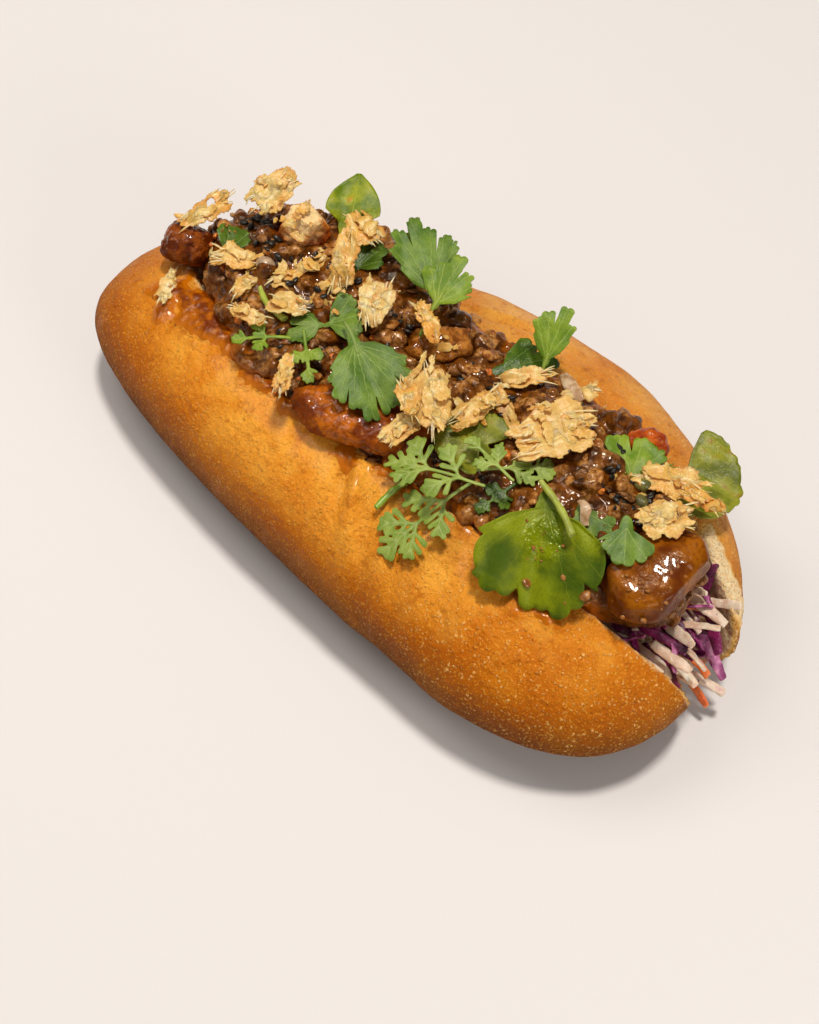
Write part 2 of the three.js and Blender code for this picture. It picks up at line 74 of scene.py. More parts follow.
CAMERA = {"place": (172, -231, 531), "looks_at": (2.5, -9.4, 0), "lens": 65}
TABLE = {"side": 6000, "colour": (0.765, 0.730, 0.712)}
KEY = {"from": (-30, 200, 900), "softness": 8, "power": 2.15, "colour": (1, 0.95, 0.89)}
SOFTBOX = {"from": (-330, -30, 640), "size": 380, "power": 1.2, "colour": (1, 0.96, 0.91)}
FILL = {"from": (-500, -700, 600), "size": 700, "power": 0.5, "colour": (1, 0.97, 0.94)}
SIDE = {"from": (900, -150, 420), "size": 500, "power": 2.6, "colour": (1, 0.97, 0.93)}
SURROUND = {"horizon": (0.055, 0.05, 0.048), "overhead": (0.25, 0.245, 0.24)}


def only(piece):
    """Selects one object and nothing else."""
    for other in bpy.context.selected_objects:
        other.select_set(False)
    piece.select_set(True)
    bpy.context.view_layer.objects.active = piece


def node(tree, kind, values=None, **settings):
    """Adds a shader node. A socket's value may be a number, a colour or another node's output."""
    made = tree.nodes.new("ShaderNode" + kind)
    for name, value in settings.items():
        setattr(made, name, value)
    for socket, value in (values or {}).items():
        if isinstance(value, bpy.types.NodeSocket):
            tree.links.new(value, made.inputs[socket])
        else:
            made.inputs[socket].default_value = value
    return made


def aim(thing, place, target):
    """Puts a lamp or a camera at its place, looking at the target, both in millimetres."""
    thing.location = Vector(place) * MM
    thing.rotation_euler = (Vector(target) - Vector(place)).to_track_quat("-Z", "Y").to_euler()


for chosen in bpy.context.selected_objects:
    chosen.select_set(False)
bpy.ops.mesh.primitive_plane_add(size=TABLE["side"] * MM)
table = bpy.context.object
table.name = "table"
paint = bpy.data.materials.new("pale_table")
paint.use_nodes = True
skin = paint.node_tree.nodes["Principled BSDF"]
skin.inputs["Base Color"].default_value = (*TABLE["colour"], 1)
skin.inputs["Roughness"].default_value = 0.7
table.data.materials.append(paint)
table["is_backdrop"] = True

key_light = bpy.data.lights.new("key_lamp", "SUN")
key_light.angle = math.radians(KEY["softness"])
lamps = [(key_light, KEY)]
for name, lamp in (("softbox", SOFTBOX), ("fill_panel", FILL), ("side_panel", SIDE)):
    panel = bpy.data.lights.new(name, "AREA")
    panel.shape = "DISK"
    panel.size = lamp["size"] * MM
    lamps.append((panel, lamp))
for light, lamp in lamps:
    light.energy = lamp["power"]
    light.color = lamp["colour"]
    holder = bpy.data.objects.new(light.name, light)
    bpy.context.scene.collection.objects.link(holder)
    aim(holder, lamp["from"], (0, 0, 30))

world = bpy.data.worlds.new("surround")
world.use_nodes = True
towards = node(world.node_tree, "TexCoord").outputs["Generated"]
height = node(world.node_tree, "SeparateXYZ", {0: towards}).outputs[2]
sky = node(world.node_tree, "Mix", {0: height, 6: (*SURROUND["horizon"], 1),
                                    7: (*SURROUND["overhead"], 1)}, data_type="RGBA").outputs[2]
world.node_tree.links.new(sky, world.node_tree.nodes["Background"].inputs["Color"])
bpy.context.scene.world = world
bpy.context.scene.view_settings.view_transform = "Standard"

lens = bpy.data.cameras.new("camera")
lens.lens = CAMERA["lens"]
lens.sensor_width = 36
lens.clip_start = 0.01
camera = bpy.data.objects.new("camera", lens)
bpy.context.scene.collection.objects.link(camera)
aim(camera, CAMERA["place"], CAMERA["looks_at"])
bpy.context.scene.camera = camera

# ---------------------------------------------------------------- bread roll
# A soft white roll with a thin golden crust, proved and baked in one long piece, then cut along its
# top and through its right end. Its dough blistered in the oven, and the crust folds where the
# heavy filling presses the near lip out.

CRUST_VOXEL = 1.1
CRUMB_FROM, CRUMB_FULL = 0.8, 1.5  # distance inside the uncut loaf at which crust turns to crumb
SLANT = {"wide": (8.5, 5.5), "from_x": (82, 95), "from_y": (4, 12), "deep": 3}
FILM = {"from": 0.46, "deep": 1.0, "under": 0.3, "lump": 1.8, "thick": 0.4}  # sauce on the crust
WELD = 0.01  # points nearer than this are one

# each crust colour as its darker and its lighter patches
CRUST_COLOURS = {
    # "low" is darkened as painted shade, for the shade under the roll
    "low": ((0.075, 0.015, 0.0005), (0.12, 0.028, 0.0005)),
    "side": ((0.56, 0.125, 0.001), (0.70, 0.195, 0.002)),
    # "top" is the crust's golden colour, lightened partly as painted light where the filling shades the lip
    "top": ((0.86, 0.30, 0.014), (0.97, 0.46, 0.052)),
    "far": ((0.74, 0.25, 0.026), (0.86, 0.42, 0.085)),
}

# soft folds in the crust: middle, half length, half width, turn in degrees and height
FOLDS = [
    ((2, -36), 13, 2.4, -62, 2.2), ((-4, -34), 12, 2.4, -70, -2.2), ((9, -40), 14, 2.8, -58, -1.8),
    ((19, -43), 12, 3.0, -50, 0.6), ((28, -50), 13, 3.0, -55, -0.7), ((40, -44), 12, 3.4, -65, -0.8),
    ((47, -42), 11, 2.6, -65, 0.8), ((-24, -30), 10, 3.5, -75, -0.6), ((-3, 44), 12, 2.4, 20, -0.9),
    ((2, 48), 12, 2.2, 15, 0.7), ((12, 49), 10, 2.4, 5, -0.6),
]

# where sauce has run over the crust: middle, reach along X and along Y, and how thick
SAUCE_RUNS = [
    ((-84, -10), (11, 5.5), 1.25), ((-73, -13), (10, 7), 1.2), ((-60, -15), (12, 6), 1.15),
    ((-46, -20), (11, 5), 1.05), ((-32, -23), (9, 5), 0.95), ((-88, -17), (3.5, 7), 1.2),
    ((-94, -10), (6, 5), 0.8), ((-8, -27), (7, 6), 0.7), ((14, -24), (22, 5), 0.75),
    ((60, -31), (16, 5), 0.6), ((76, -27), (8, 4), 0.6), ((-92, 8), (10, 12), 0.6),
]


@contextmanager
def editing(piece, chosen=None):
    """Edit mode on one piece for as long as the block runs, with all of it or the chosen faces
    selected."""
    only(piece)
    bpy.ops.object.mode_set(mode="EDIT")
    if chosen is None:
        bpy.ops.mesh.select_all(action="SELECT")
    else:
        bpy.ops.mesh.select_mode(type="FACE")
        bpy.ops.mesh.select_all(action="DESELECT")
        bpy.ops.object.mode_set(mode="OBJECT")
        piece.data.polygons.foreach_set("select", np.asarray(chosen))
        bpy.ops.object.mode_set(mode="EDIT")
    yield
    bpy.ops.object.mode_set(mode="OBJECT")


def merged_copy(cad_node, name):
    """A copy of a CAD node's mesh as a piece of its own, with its loose triangles joined."""
    piece = bpy.data.objects.new(name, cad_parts[cad_node].data.copy())
    piece.data.materials.clear()
    bpy.context.scene.collection.objects.link(piece)
    only(piece)
    bpy.ops.mesh.customdata_custom_splitnormals_clear()
    with editing(piece):
        bpy.ops.mesh.remove_doubles(threshold=WELD * MM)
    return piece


def apply_modifier(piece, kind, **settings):
    only(piece)
    modifier = piece.modifiers.new(kind.lower(), kind)
    for name, value in settings.items():
        setattr(modifier, name, value)
    bpy.ops.object.modifier_apply(modifier=modifier.name)


def remesh(piece, size):
    """Makes a piece's surface anew from even faces of that size in millimetres."""
    apply_modifier(piece, "REMESH", mode="VOXEL", voxel_size=size * MM)


def soften(piece, rounds, factor=0.5, group=""):
    """Smooths a piece's surface, all over or where a vertex group says."""
    apply_modifier(piece, "SMOOTH", factor=factor, iterations=rounds, vertex_group=group)


def subdivide(piece):
    apply_modifier(piece, "SUBSURF", levels=1, render_levels=1)


def roughen(piece, size, height, kind="CLOUDS", depth=1, group=""):
    """Displaces a piece's surface by a procedural pattern of that size and height in millimetres."""
    pattern = bpy.data.textures.new(piece.name + "_relief", kind)
    pattern.noise_scale = size * MM
    if kind == "CLOUDS":
        pattern.noise_depth = depth
    apply_modifier(piece, "DISPLACE", texture=pattern, texture_coords="LOCAL", strength=height * MM,
                   mid_level=0.5, vertex_group=group)


def points_of(piece, what="co"):
    """The piece's points in metres, or their normals, as an array of rows."""
    rows = np.empty(len(piece.data.vertices) * 3, np.float32)
    piece.data.vertices.foreach_get(what, rows)
    return rows.reshape(-1, 3).astype(float)


def move_points(piece, points):
    piece.data.vertices.foreach_set("co", points.astype(np.float32).ravel())
    piece.data.update()


def keep_values(piece, name, values):
    """Stores one number for each point, for the material to read."""
    layer = piece.data.attributes.new(name, "FLOAT", "POINT")
    layer.data.foreach_set("value", np.asarray(values, np.float32))


def values_of(piece, name):
    values = np.empty(len(piece.data.vertices), np.float32)
    piece.data.attributes[name].data.foreach_get("value", values)
    return values


def weigh(piece, name, weights):
    """A vertex group with one weight for each point."""
    group = piece.vertex_groups.new(name=name)
    for step in range(21):
        near = np.nonzero(np.round(np.asarray(weights) * 20) == step)[0]
        group.add(near.tolist(), step / 20, "REPLACE")


def smooth_step(low, high, value):
    share = np.clip((value - low) / (high - low), 0, 1)
    return share * share * (3 - 2 * share)


def cloud(u, v, seed):
    """Smooth random heights from -1 to 1 over a plane, with one bump to each unit of u and v."""
    lattice = np.random.RandomState(seed).uniform(-1, 1, (64, 64))
    u, v = np.asarray(u) + 17.3, np.asarray(v) + 9.1
    column, row = np.floor(u).astype(int), np.floor(v).astype(int)
    across, along = u - column, v - row
    across, along = across ** 2 * (3 - 2 * across), along ** 2 * (3 - 2 * along)

    def along_row(row):
        left, right = lattice[row % 64, column % 64], lattice[row % 64, (column + 1) % 64]
        return left * (1 - across) + right * across
    return along_row(row) * (1 - along) + along_row(row + 1) * along


def finish_piece(piece, material, slot, *cad_nodes):
    """Gives a finished piece its material and its place in the frame."""
    piece.data.materials.clear()
    piece.data.materials.append(material)
    only(piece)
    bpy.ops.object.shade_smooth()
    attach(piece, "root")
    if cad_nodes:
        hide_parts(*cad_nodes)


def tree_of(*cad_nodes):
    """A search tree of the faces of some CAD nodes."""
    points, faces = [], []
    for name in cad_nodes:
        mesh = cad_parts[name].data
        start = len(points)
        points += [vertex.co.copy() for vertex in mesh.vertices]
        faces += [[start + i for i in face.vertices] for face in mesh.polygons]
    return BVHTree.FromPolygons(points, faces)


def surface_of(piece):
    """A search tree of a piece's own faces."""
    faces = [list(face.vertices) for face in piece.data.polygons]
    return BVHTree.FromPolygons(points_of(piece).tolist(), faces)


def nearest_of(points):
    """A search tree of points."""
    tree = KDTree(len(points))
    for number, point in enumerate(points):
        tree.insert(point, number)
    tree.balance()
    return tree


def distances_to(tree, points):
    """How far each point lies from a surface, in millimetres."""
    return np.array([tree.find_nearest(point)[3] for point in points.tolist()]) / MM


bread = merged_copy("bread_roll", "bread")
remesh(bread, CRUST_VOXEL)

# the uncut loaf: how deep a point lies under it tells crumb from crust
loaf = merged_copy("bread_roll", "uncut_loaf")
with editing(loaf):
    bpy.ops.mesh.convex_hull()
loaf_tree = surface_of(loaf)
bpy.data.objects.remove(loaf)

places = points_of(bread)
cut_tree = nearest_of(places[distances_to(loaf_tree, places) > CRUMB_FROM])
from_cut = np.array([cut_tree.find(point)[2] for point in places.tolist()]) / MM
weigh(bread, "open_crust", smooth_step(2, 9, from_cut))
soften(bread, 60, 0.6, "open_crust")
soften(bread, 5)

# the far half was cut on a slant at the open end, so its crumb shows as a broad pale face
places = points_of(bread) / MM
ragged = 1.5 * cloud(places[:, 0] / 4, places[:, 2] / 4, 11)
slant = smooth_step(*SLANT["wide"], from_cut + ragged) * smooth_step(*SLANT["from_x"], places[:, 0])
slant = slant * smooth_step(*SLANT["from_y"], places[:, 1])
deep = np.maximum(distances_to(loaf_tree, points_of(bread)), SLANT["deep"] * slant)
crumb = smooth_step(CRUMB_FROM, CRUMB_FULL, deep)
weigh(bread, "cut_face", crumb)
weigh(bread, "outside", 1 - crumb)
roughen(bread, 26, 1.4, group="outside")
roughen(bread, 7, 0.35, depth=2, group="outside")
roughen(bread, 3.2, 2.2, depth=2, group="cut_face")

places, outward = points_of(bread), points_of(bread, "normal")
lift = np.zeros(len(places))
top_side = smooth_step(15 * MM, 28 * MM, places[:, 2]) * (1 - crumb)
for middle, long, wide, turn, high in FOLDS:
    turn = math.radians(turn)
    away = places[:, :2] / MM - np.array(middle)
    along = (away[:, 0] * math.cos(turn) + away[:, 1] * math.sin(turn)) / long
    across = (away[:, 1] * math.cos(turn) - away[:, 0] * math.sin(turn)) / wide
    lift += high * np.exp(-along ** 2 - across ** 2) * top_side
places += outward * (lift * MM)[:, None]
places[:, 2] = np.maximum(places[:, 2], 0)
move_points(bread, places)

sauce = np.zeros(len(places))
for middle, reach, thick in SAUCE_RUNS:
    away = (places[:, :2] / MM - np.array(middle)) / np.array(reach)
    sauce = np.maximum(sauce, thick * np.exp(-(away ** 2).sum(1)))
flat_x, flat_y = places[:, 0] / MM, places[:, 1] / MM
ragged = cloud(flat_x / 4.5, flat_y / 4.5, 3) + 0.5 * cloud(flat_x / 1.6, flat_y / 1.6, 4)
sauce = np.clip((sauce + 0.35 * ragged) * (places[:, 2] > 20 * MM), 0, 1)
bubbly = 0.4 + 0.3 * cloud(flat_x / 1.3, flat_y / 1.3, 5)
places += outward * (bubbly * MM * smooth_step(0.35, 0.8, sauce))[:, None]
move_points(bread, places)
keep_values(bread, "crumb", crumb)
keep_values(bread, "torn", smooth_step(1.7, 0.7, from_cut) * (1 - crumb))
keep_values(bread, "depth", np.maximum(distances_to(loaf_tree, places), SLANT["deep"] * slant))
keep_values(bread, "sauce", sauce)


def new_group(name, inputs, outputs):
    """An empty shader group with named number sockets, and its input and output nodes."""
    group = bpy.data.node_groups.new(name, "ShaderNodeTree")
    for label, value in inputs.items():
        socket = group.interface.new_socket(label, in_out="INPUT", socket_type="NodeSocketFloat")
        socket.default_value = value
    for label in outputs:
        group.interface.new_socket(label, in_out="OUTPUT", socket_type="NodeSocketFloat")
    return group, group.nodes.new("NodeGroupInput").outputs, group.nodes.new("NodeGroupOutput").inputs


def maths(tree, operation, a, b=0.0, clamp=False):
    return node(tree, "Math", {0: a, 1: b}, operation=operation, use_clamp=clamp).outputs[0]


def times(tree, first, *others):
    """The product of numbers and outputs."""
    for other in others:
        first = maths(tree, "MULTIPLY", first, other)
    return first


def between(tree, value, low, high):
    """0 below low and 1 above high, with a soft step between."""
    step = node(tree, "MapRange", {"Value": value, "From Min": low, "From Max": high},
                interpolation_type="SMOOTHSTEP")
    return step.outputs["Result"]


def mixed(tree, share, a, b):
    """Two colours mixed; each is a colour, a grey number or another node's output."""
    a, b = [(*c, 1) if isinstance(c, tuple) else (c, c, c, 1) if isinstance(c, float) else c
            for c in (a, b)]
    return node(tree, "Mix", {0: share, 6: a, 7: b}, data_type="RGBA").outputs[2]


def stained(tree, colour, stain, *shares):
    """A colour with a stain mixed in, by the product of the shares."""
    return mixed(tree, times(tree, *shares), colour, stain)


def noise_at(tree, scale, detail, rough=0.5):
    """Noise on the object's own coordinates."""
    where = node(tree, "TexCoord").outputs["Object"]
    return node(tree, "TexNoise", {"Vector": where, "Scale": scale, "Detail": detail,
                                   "Roughness": rough}).outputs["Fac"]


def value_at(tree, name):
    """The numbers that keep_values stored."""
    return node(tree, "Attribute", attribute_name=name).outputs["Fac"]


def swayed(tree, vector, scale, detail, far):
    """Coordinates pushed about by noise of that scale, by half of far at most."""
    push = node(tree, "TexNoise", {"Vector": vector, "Scale": scale, "Detail": detail}).outputs["Color"]
    push = node(tree, "VectorMath", {0: push, 1: (0.5, 0.5, 0.5)}, operation="SUBTRACT").outputs[0]
    push = node(tree, "VectorMath", {0: push, "Scale": far}, operation="SCALE").outputs[0]
    return node(tree, "VectorMath", {0: vector, 1: push}, operation="ADD").outputs[0]


# even mottling of any food: broad patches, a fine grain and small dots, all on Object coordinates
mottle, given, out = new_group("Mottle", {"Patch Size": 20.0, "Grain Size": 1.0, "Dot Size": 2.0},
                               ("Patches", "Grain", "Dots", "Dot Tint"))
where = node(mottle, "TexCoord").outputs["Object"]
for label, size, detail in (("Patches", "Patch Size", 3.0), ("Grain", "Grain Size", 2.0)):
    fine = maths(mottle, "DIVIDE", 1000.0, given[size])
    field = node(mottle, "TexNoise", {"Vector": where, "Scale": fine, "Detail": detail})
    mottle.links.new(field.outputs["Fac"], out[label])
fine = maths(mottle, "DIVIDE", 1000.0, given["Dot Size"])
bent = swayed(mottle, where, fine, 2.0, maths(mottle, "DIVIDE", 1.1, fine))
cells = node(mottle, "TexVoronoi", {"Vector": bent, "Scale": fine, "Randomness": 1.0})
tint = node(mottle, "SeparateColor", {0: cells.outputs["Color"]}).outputs[0]
radius = node(mottle, "MapRange", {"Value": tint, "To Min": 0.18, "To Max": 0.5}).outputs["Result"]
from_middle = maths(mottle, "DIVIDE", cells.outputs["Distance"], radius)
mottle.links.new(between(mottle, from_middle, 1.0, 0.4), out["Dots"])
mottle.links.new(tint, out["Dot Tint"])


def new_material(name, patch=20.0, grain=1.0, dot=2.0):
    """A material with its Principled shader and one Mottle group set to its own sizes."""
    material = bpy.data.materials.new(name)
    material.use_nodes = True
    tree = material.node_tree
    mottled = node(tree, "Group", node_tree=mottle)
    for label, value in (("Patch Size", patch), ("Grain Size", grain), ("Dot Size", dot)):
        mottled.inputs[label].default_value = value
    return material, tree, tree.nodes["Principled BSDF"], mottled.outputs


def relief(tree, skin, *layers):
    """Chained bumps on a shader. Each layer is (height output, depth in millimetres)."""
    normal = None
    for height, deep in layers:
        bump = node(tree, "Bump", {"Height": height, "Distance": deep * MM, "Strength": 1.0})
        if normal:
            tree.links.new(normal, bump.inputs["Normal"])
        normal = bump.outputs["Normal"]
    tree.links.new(normal, skin.inputs["Normal"])


def paint_with(tree, skin, soft=None, **sockets):
    """Sets or links the shader's own sockets; underscores in a name stand for spaces. soft is how
    light goes under the surface: its weight, radius and scale in millimetres."""
    if soft:
        sockets.update(Subsurface_Weight=soft[0], Subsurface_Radius=soft[1], Subsurface_Scale=soft[2] * MM)
    for name, value in sockets.items():
        socket = skin.inputs[name.replace("_", " ")]
        if isinstance(value, bpy.types.NodeSocket):
            tree.links.new(value, socket)
        else:
            socket.default_value = (*value, 1) if socket.type == "RGBA" else value


crust_paint, tree, skin, mottled = new_material("baked_crust", patch=24, grain=0.7, dot=1.25)
spot = node(tree, "SeparateXYZ", {0: node(tree, "TexCoord").outputs["Object"]}).outputs
nose = between(tree, spot[0], 0.010, 0.070)
far_side = between(tree, spot[1], -0.025, 0.035)
high = between(tree, spot[2], 0.012, 0.050)
top = between(tree, spot[2], 0.034, 0.052)
streaks = noise_at(tree, 210, 5, 0.7)
peel = noise_at(tree, 1300, 2)
golden_highlight_patches = between(tree, noise_at(tree, 95, 4), 0.48, 0.66)
smear = noise_at(tree, 230, 5, 0.65)
sauce_at, torn_at = value_at(tree, "sauce"), value_at(tree, "torn")
crumb_at, depth_at = value_at(tree, "crumb"), value_at(tree, "depth")
sauced = between(tree, sauce_at, 0.12, 0.75)
patchy = between(tree, mottled["Patches"], 0.34, 0.66)
crust = {part: mixed(tree, patchy, *shades) for part, shades in CRUST_COLOURS.items()}
# the lower crust takes the darker low colour as painted shade
colour = mixed(tree, high, crust["low"], crust["side"])
# the top is lightened to the top colour, partly painted light
colour = stained(tree, colour, crust["top"], top, maths(tree, "SUBTRACT", 0.9, times(tree, nose, 0.6)))
colour = stained(tree, colour, crust["far"], high, far_side)
colour = stained(tree, colour, (0.46, 0.105, 0.001), between(tree, streaks, 0.50, 0.68), 0.6)
colour = stained(tree, colour, (0.38, 0.085, 0.001), between(tree, peel, 0.52, 0.70), 0.25)
# broad golden patches on the top, partly the crust's own tone and partly painted highlight
colour = stained(tree, colour, (0.96, 0.48, 0.060), golden_highlight_patches, top, 0.5)
colour = stained(tree, colour, (0.96, 0.50, 0.06), between(tree, mottled["Grain"], 0.55, 0.70), 0.42)
colour = stained(tree, colour, (0.96, 0.54, 0.16), mottled["Dots"],
                 between(tree, mottled["Dot Tint"], 0.1, 0.9), maths(tree, "ADD", 0.35, nose, clamp=True),
                 between(tree, streaks, 0.62, 0.40), 0.8)
colour = stained(tree, colour, (0.60, 0.16, 0.001), sauced, 0.6)
colour = stained(tree, colour, (0.34, 0.065, 0.001), between(tree, sauce_at, 0.35, 0.95),
                 between(tree, smear, 0.38, 0.60), 0.6)
colour = stained(tree, colour, (0.95, 0.66, 0.30), torn_at, between(tree, peel, 0.36, 0.52), 0.85)
bready = mixed(tree, between(tree, mottled["Grain"], 0.35, 0.65), (0.88, 0.58, 0.28), (0.97, 0.78, 0.47))
bready = mixed(tree, between(tree, depth_at, 2.8, 1.0), bready, (0.88, 0.48, 0.10))
colour = mixed(tree, crumb_at, colour, bready)
gloss = mixed(tree, between(tree, mottled["Grain"], 0.3, 0.7), 0.24, 0.38)
gloss = mixed(tree, high, 0.95, gloss)
gloss = mixed(tree, sauced, gloss, 0.16)
gloss = mixed(tree, crumb_at, gloss, 0.85)
glazed = maths(tree, "ADD", times(tree, high, 0.02), times(tree, top, 0.27))
glazed = times(tree, glazed, maths(tree, "SUBTRACT", 1.0, crumb_at))
paint_with(tree, skin, Base_Color=colour, Roughness=gloss, soft=(0.10, (1.0, 0.4, 0.1), 1.2),
           Specular_IOR_Level=0.24, Specular_Tint=(1.0, 0.72, 0.34), Coat_Weight=glazed,
           Coat_Roughness=0.13, Coat_IOR=1.42, Coat_Tint=(1.0, 0.90, 0.72))
relief(tree, skin, (mottled["Grain"], 0.26), (peel, 0.12), (mottled["Dots"], 0.20),
       (noise_at(tree, 360, 3), 0.75), (streaks, 0.9), (times(tree, smear, sauced), 1.0),
       (times(tree, mottled["Grain"], crumb_at), 0.45))
finish_piece(bread, crust_paint, "crust", "bread_roll")

# the sauce that has run over the lip: a thin film of its own, thickest by the filling
only(bread)
bpy.ops.object.duplicate()
film = bpy.context.object
film.name = film.data.name = "sauce_film"
film.vertex_groups.clear()
with editing(film, [sauce[list(face.vertices)].max() < FILM["from"] for face in film.data.polygons]):
    bpy.ops.mesh.delete(type="FACE")
runny = values_of(film, "sauce")
deep = FILM["deep"] * smooth_step(FILM["from"], 1.0, runny) - FILM["under"] * (runny < FILM["from"])
move_points(film, points_of(film) + points_of(film, "normal") * (deep * MM)[:, None])
subdivide(film)
roughen(film, FILM["lump"], 0.7, depth=2)
apply_modifier(film, "SOLIDIFY", thickness=FILM["thick"] * MM, offset=-1)
film_paint, tree, skin, mottled = new_material("run_sauce", patch=3, grain=0.6)
thick = times(tree, between(tree, value_at(tree, "sauce"), 0.6, 1.0),
              between(tree, mottled["Patches"], 0.25, 0.60))
colour = mixed(tree, thick, (0.56, 0.150, 0.002), (0.19, 0.030, 0.001))
paint_with(tree, skin, Base_Color=colour, Roughness=0.06, soft=(0.2, (1.0, 0.4, 0.1), 1.0),
           Specular_IOR_Level=0.5, Specular_Tint=(1.0, 0.86, 0.66))
relief(tree, skin, (mottled["Grain"], 0.12))
finish_piece(film, film_paint, "relish")

# ---------------------------------------------------------------- slaw
# A bed of raw slaw runs through the roll: white and red cabbage cut into thin shreds, with a little
# carrot. Dressing makes the shreds limp and slightly translucent, and some hang out of the open end.

# shreds that hang out: kind, start, end, how high they bow, width and thickness
HANGING = [
    ("white", (86, 7, 28), (110, 4, 33), 3, 3.8, 2.2),
    ("red", (98, 10, 25), (98, 14, 41), 0, 3.0, 1.5),
    ("white", (94, 5, 26), (110, 11, 33), 3, 2.8, 1.6),
    ("red", (86, 1, 30), (105, -8, 33), 4, 3.0, 1.8),
    ("white", (84, -3, 26), (112, -10, 26), 6, 3.8, 2.0),
    ("carrot", (92, -3, 22), (113, -8, 19), 5, 2.8, 2.0),
    ("violet", (92, 5, 22), (117, -3, 14), 9, 3.6, 1.5),
    ("white", (94, 1, 16), (110, -2, 18), 2, 2.8, 1.8),
    ("white", (92, -11, 15), (119, -6, 11), 5, 3.2, 2.8),
    ("carrot", (92, -5, 14), (117, -10, 7), 5, 2.6, 2.4),
    ("white", (92, 7, 30), (100, 6, 38), 2, 2.2, 1.8),
    ("white", (88, -13, 24), (106, -18, 27), 3, 3.0, 1.6),
]
BED_VOXEL = 1.5
BED_END = 94  # where the even bed ends and only hanging shreds go on
TUCKED_IN = {"count": 125, "x": (74, 100), "y": (-20, 12), "z": (11, 35), "length": (9, 19)}
SKIP = 0.002  # how often a shred that finds no room is left out
SHRED_LOOKS = {  # their deep and their pale colour
    "white": ((0.72, 0.49, 0.34), (0.88, 0.72, 0.55)),
    "red": ((0.075, 0.004, 0.035), (0.24, 0.012, 0.10)),
    "violet": ((0.24, 0.018, 0.13), (0.56, 0.17, 0.36)),
    "carrot": ((0.74, 0.14, 0.022), (0.86, 0.24, 0.065)),
}


def strip(points, faces, path, wide, thick, sides=8, taper=0.75, roll=0.0, twist=0.0):
    """Adds one shred, straw or stalk to lists of points and faces: a soft section along a path."""
    start = len(points)
    heading = (path[-1] - path[0]).normalized()
    level = heading.cross(Vector((0, 0, 1)))
    level = level.normalized() if level.length > 0.2 else Vector((0, 1, 0))
    uneven = 40 * (path[0].x + path[-1].y) / MM
    for number, place in enumerate(path):
        share = number / (len(path) - 1)
        ahead = path[min(number + 1, len(path) - 1)] - path[max(number - 1, 0)]
        turned = Matrix.Rotation(roll + twist * share, 3, heading) @ level
        up = turned.cross(ahead).normalized()
        slim = taper + (1 - taper) * math.sin(math.pi * share) + 0.10 * math.sin(9 * share + uneven)
        for side in range(sides):
            turn = 2 * math.pi * side / sides
            across = math.copysign(abs(math.cos(turn)) ** 0.45, math.cos(turn)) * wide / 2 * slim
            rise = math.copysign(abs(math.sin(turn)) ** 0.45, math.sin(turn)) * thick / 2
            points.append(place + turned * across + up * rise)
    for number in range(len(path) - 1):
        for side in range(sides):
            low, high = start + number * sides, start + (number + 1) * sides
            onward = (side + 1) % sides
            faces.append((low + side, high + side, high + onward, low + onward))
    faces.append(tuple(start + side for side in range(sides)))
    faces.append(tuple(start + (len(path) - 1) * sides + side for side in reversed(range(sides))))


def bowed(begin, end, bow, chance, steps, wobble):
    """Points of a bowed path in metres, with a small sideways wobble."""
    begin, end = Vector(begin), Vector(end)
    middle = begin.lerp(end, 0.5) + Vector((0, 0, bow))
    sway = Vector([chance.uniform(-1, 1) for _ in range(3)]) * wobble
    path = []
    for t in (0, 0.03, *(step / steps for step in range(1, steps)), 0.97, 1):
        place = begin * (1 - t) ** 2 + middle * 2 * t * (1 - t) + end * t * t
        path.append((place + sway * math.sin(5 * t)) * MM)
    return path


def mesh_piece(name, points, faces):
    """A piece of many small parts from lists of points and faces."""
    mesh = bpy.data.meshes.new(name)
    mesh.from_pydata(points, [], faces)
    piece = bpy.data.objects.new(name, mesh)
    bpy.context.scene.collection.objects.link(piece)
    with editing(piece):
        bpy.ops.mesh.normals_make_consistent(inside=False)
    return piece


def simple_paint(name, patch, grain, colours, share, bumps, **sockets):
    """A material of two colours in patches, over bumps of its grain and of its patches."""
    paint, tree, skin, mottled = new_material(name, patch, grain)
    colour = mixed(tree, between(tree, mottled["Patches"], *share), *colours)
    paint_with(tree, skin, Base_Color=colour, **sockets)
    relief(tree, skin, *zip((mottled["Grain"], mottled["Patches"]), bumps))
    return paint


bread_tree = tree_of("bread_roll")
pieces_tree = tree_of(*[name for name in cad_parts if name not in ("bread_roll", "slaw", "relish")])


def inside(tree, place):
    """How far a place in metres lies under the surface of a closed CAD mesh, in metres."""
    near, outwards, _, distance = tree.find_nearest(place)
    return distance if (place - near).dot(outwards) < 0 else -distance


bed = merged_copy("slaw", "shaded_slaw_bed")
with editing(bed):
    bpy.ops.mesh.bisect(plane_co=(BED_END * MM, 0, 0), plane_no=(1, 0, 0), clear_outer=True, use_fill=True)
remesh(bed, BED_VOXEL)
roughen(bed, 3, 2.4, depth=2)
# the bed is dark purple-brown: slaw colour darkened as painted shade for the core deep in the roll
shaded_bed_paint = simple_paint("shaded_slaw_bed", 4, 1.2, ((0.12, 0.012, 0.04), (0.48, 0.28, 0.16)), (0.42, 0.58),
                         (0.4,), Roughness=0.4)
finish_piece(bed, shaded_bed_paint, "slaw", "slaw")

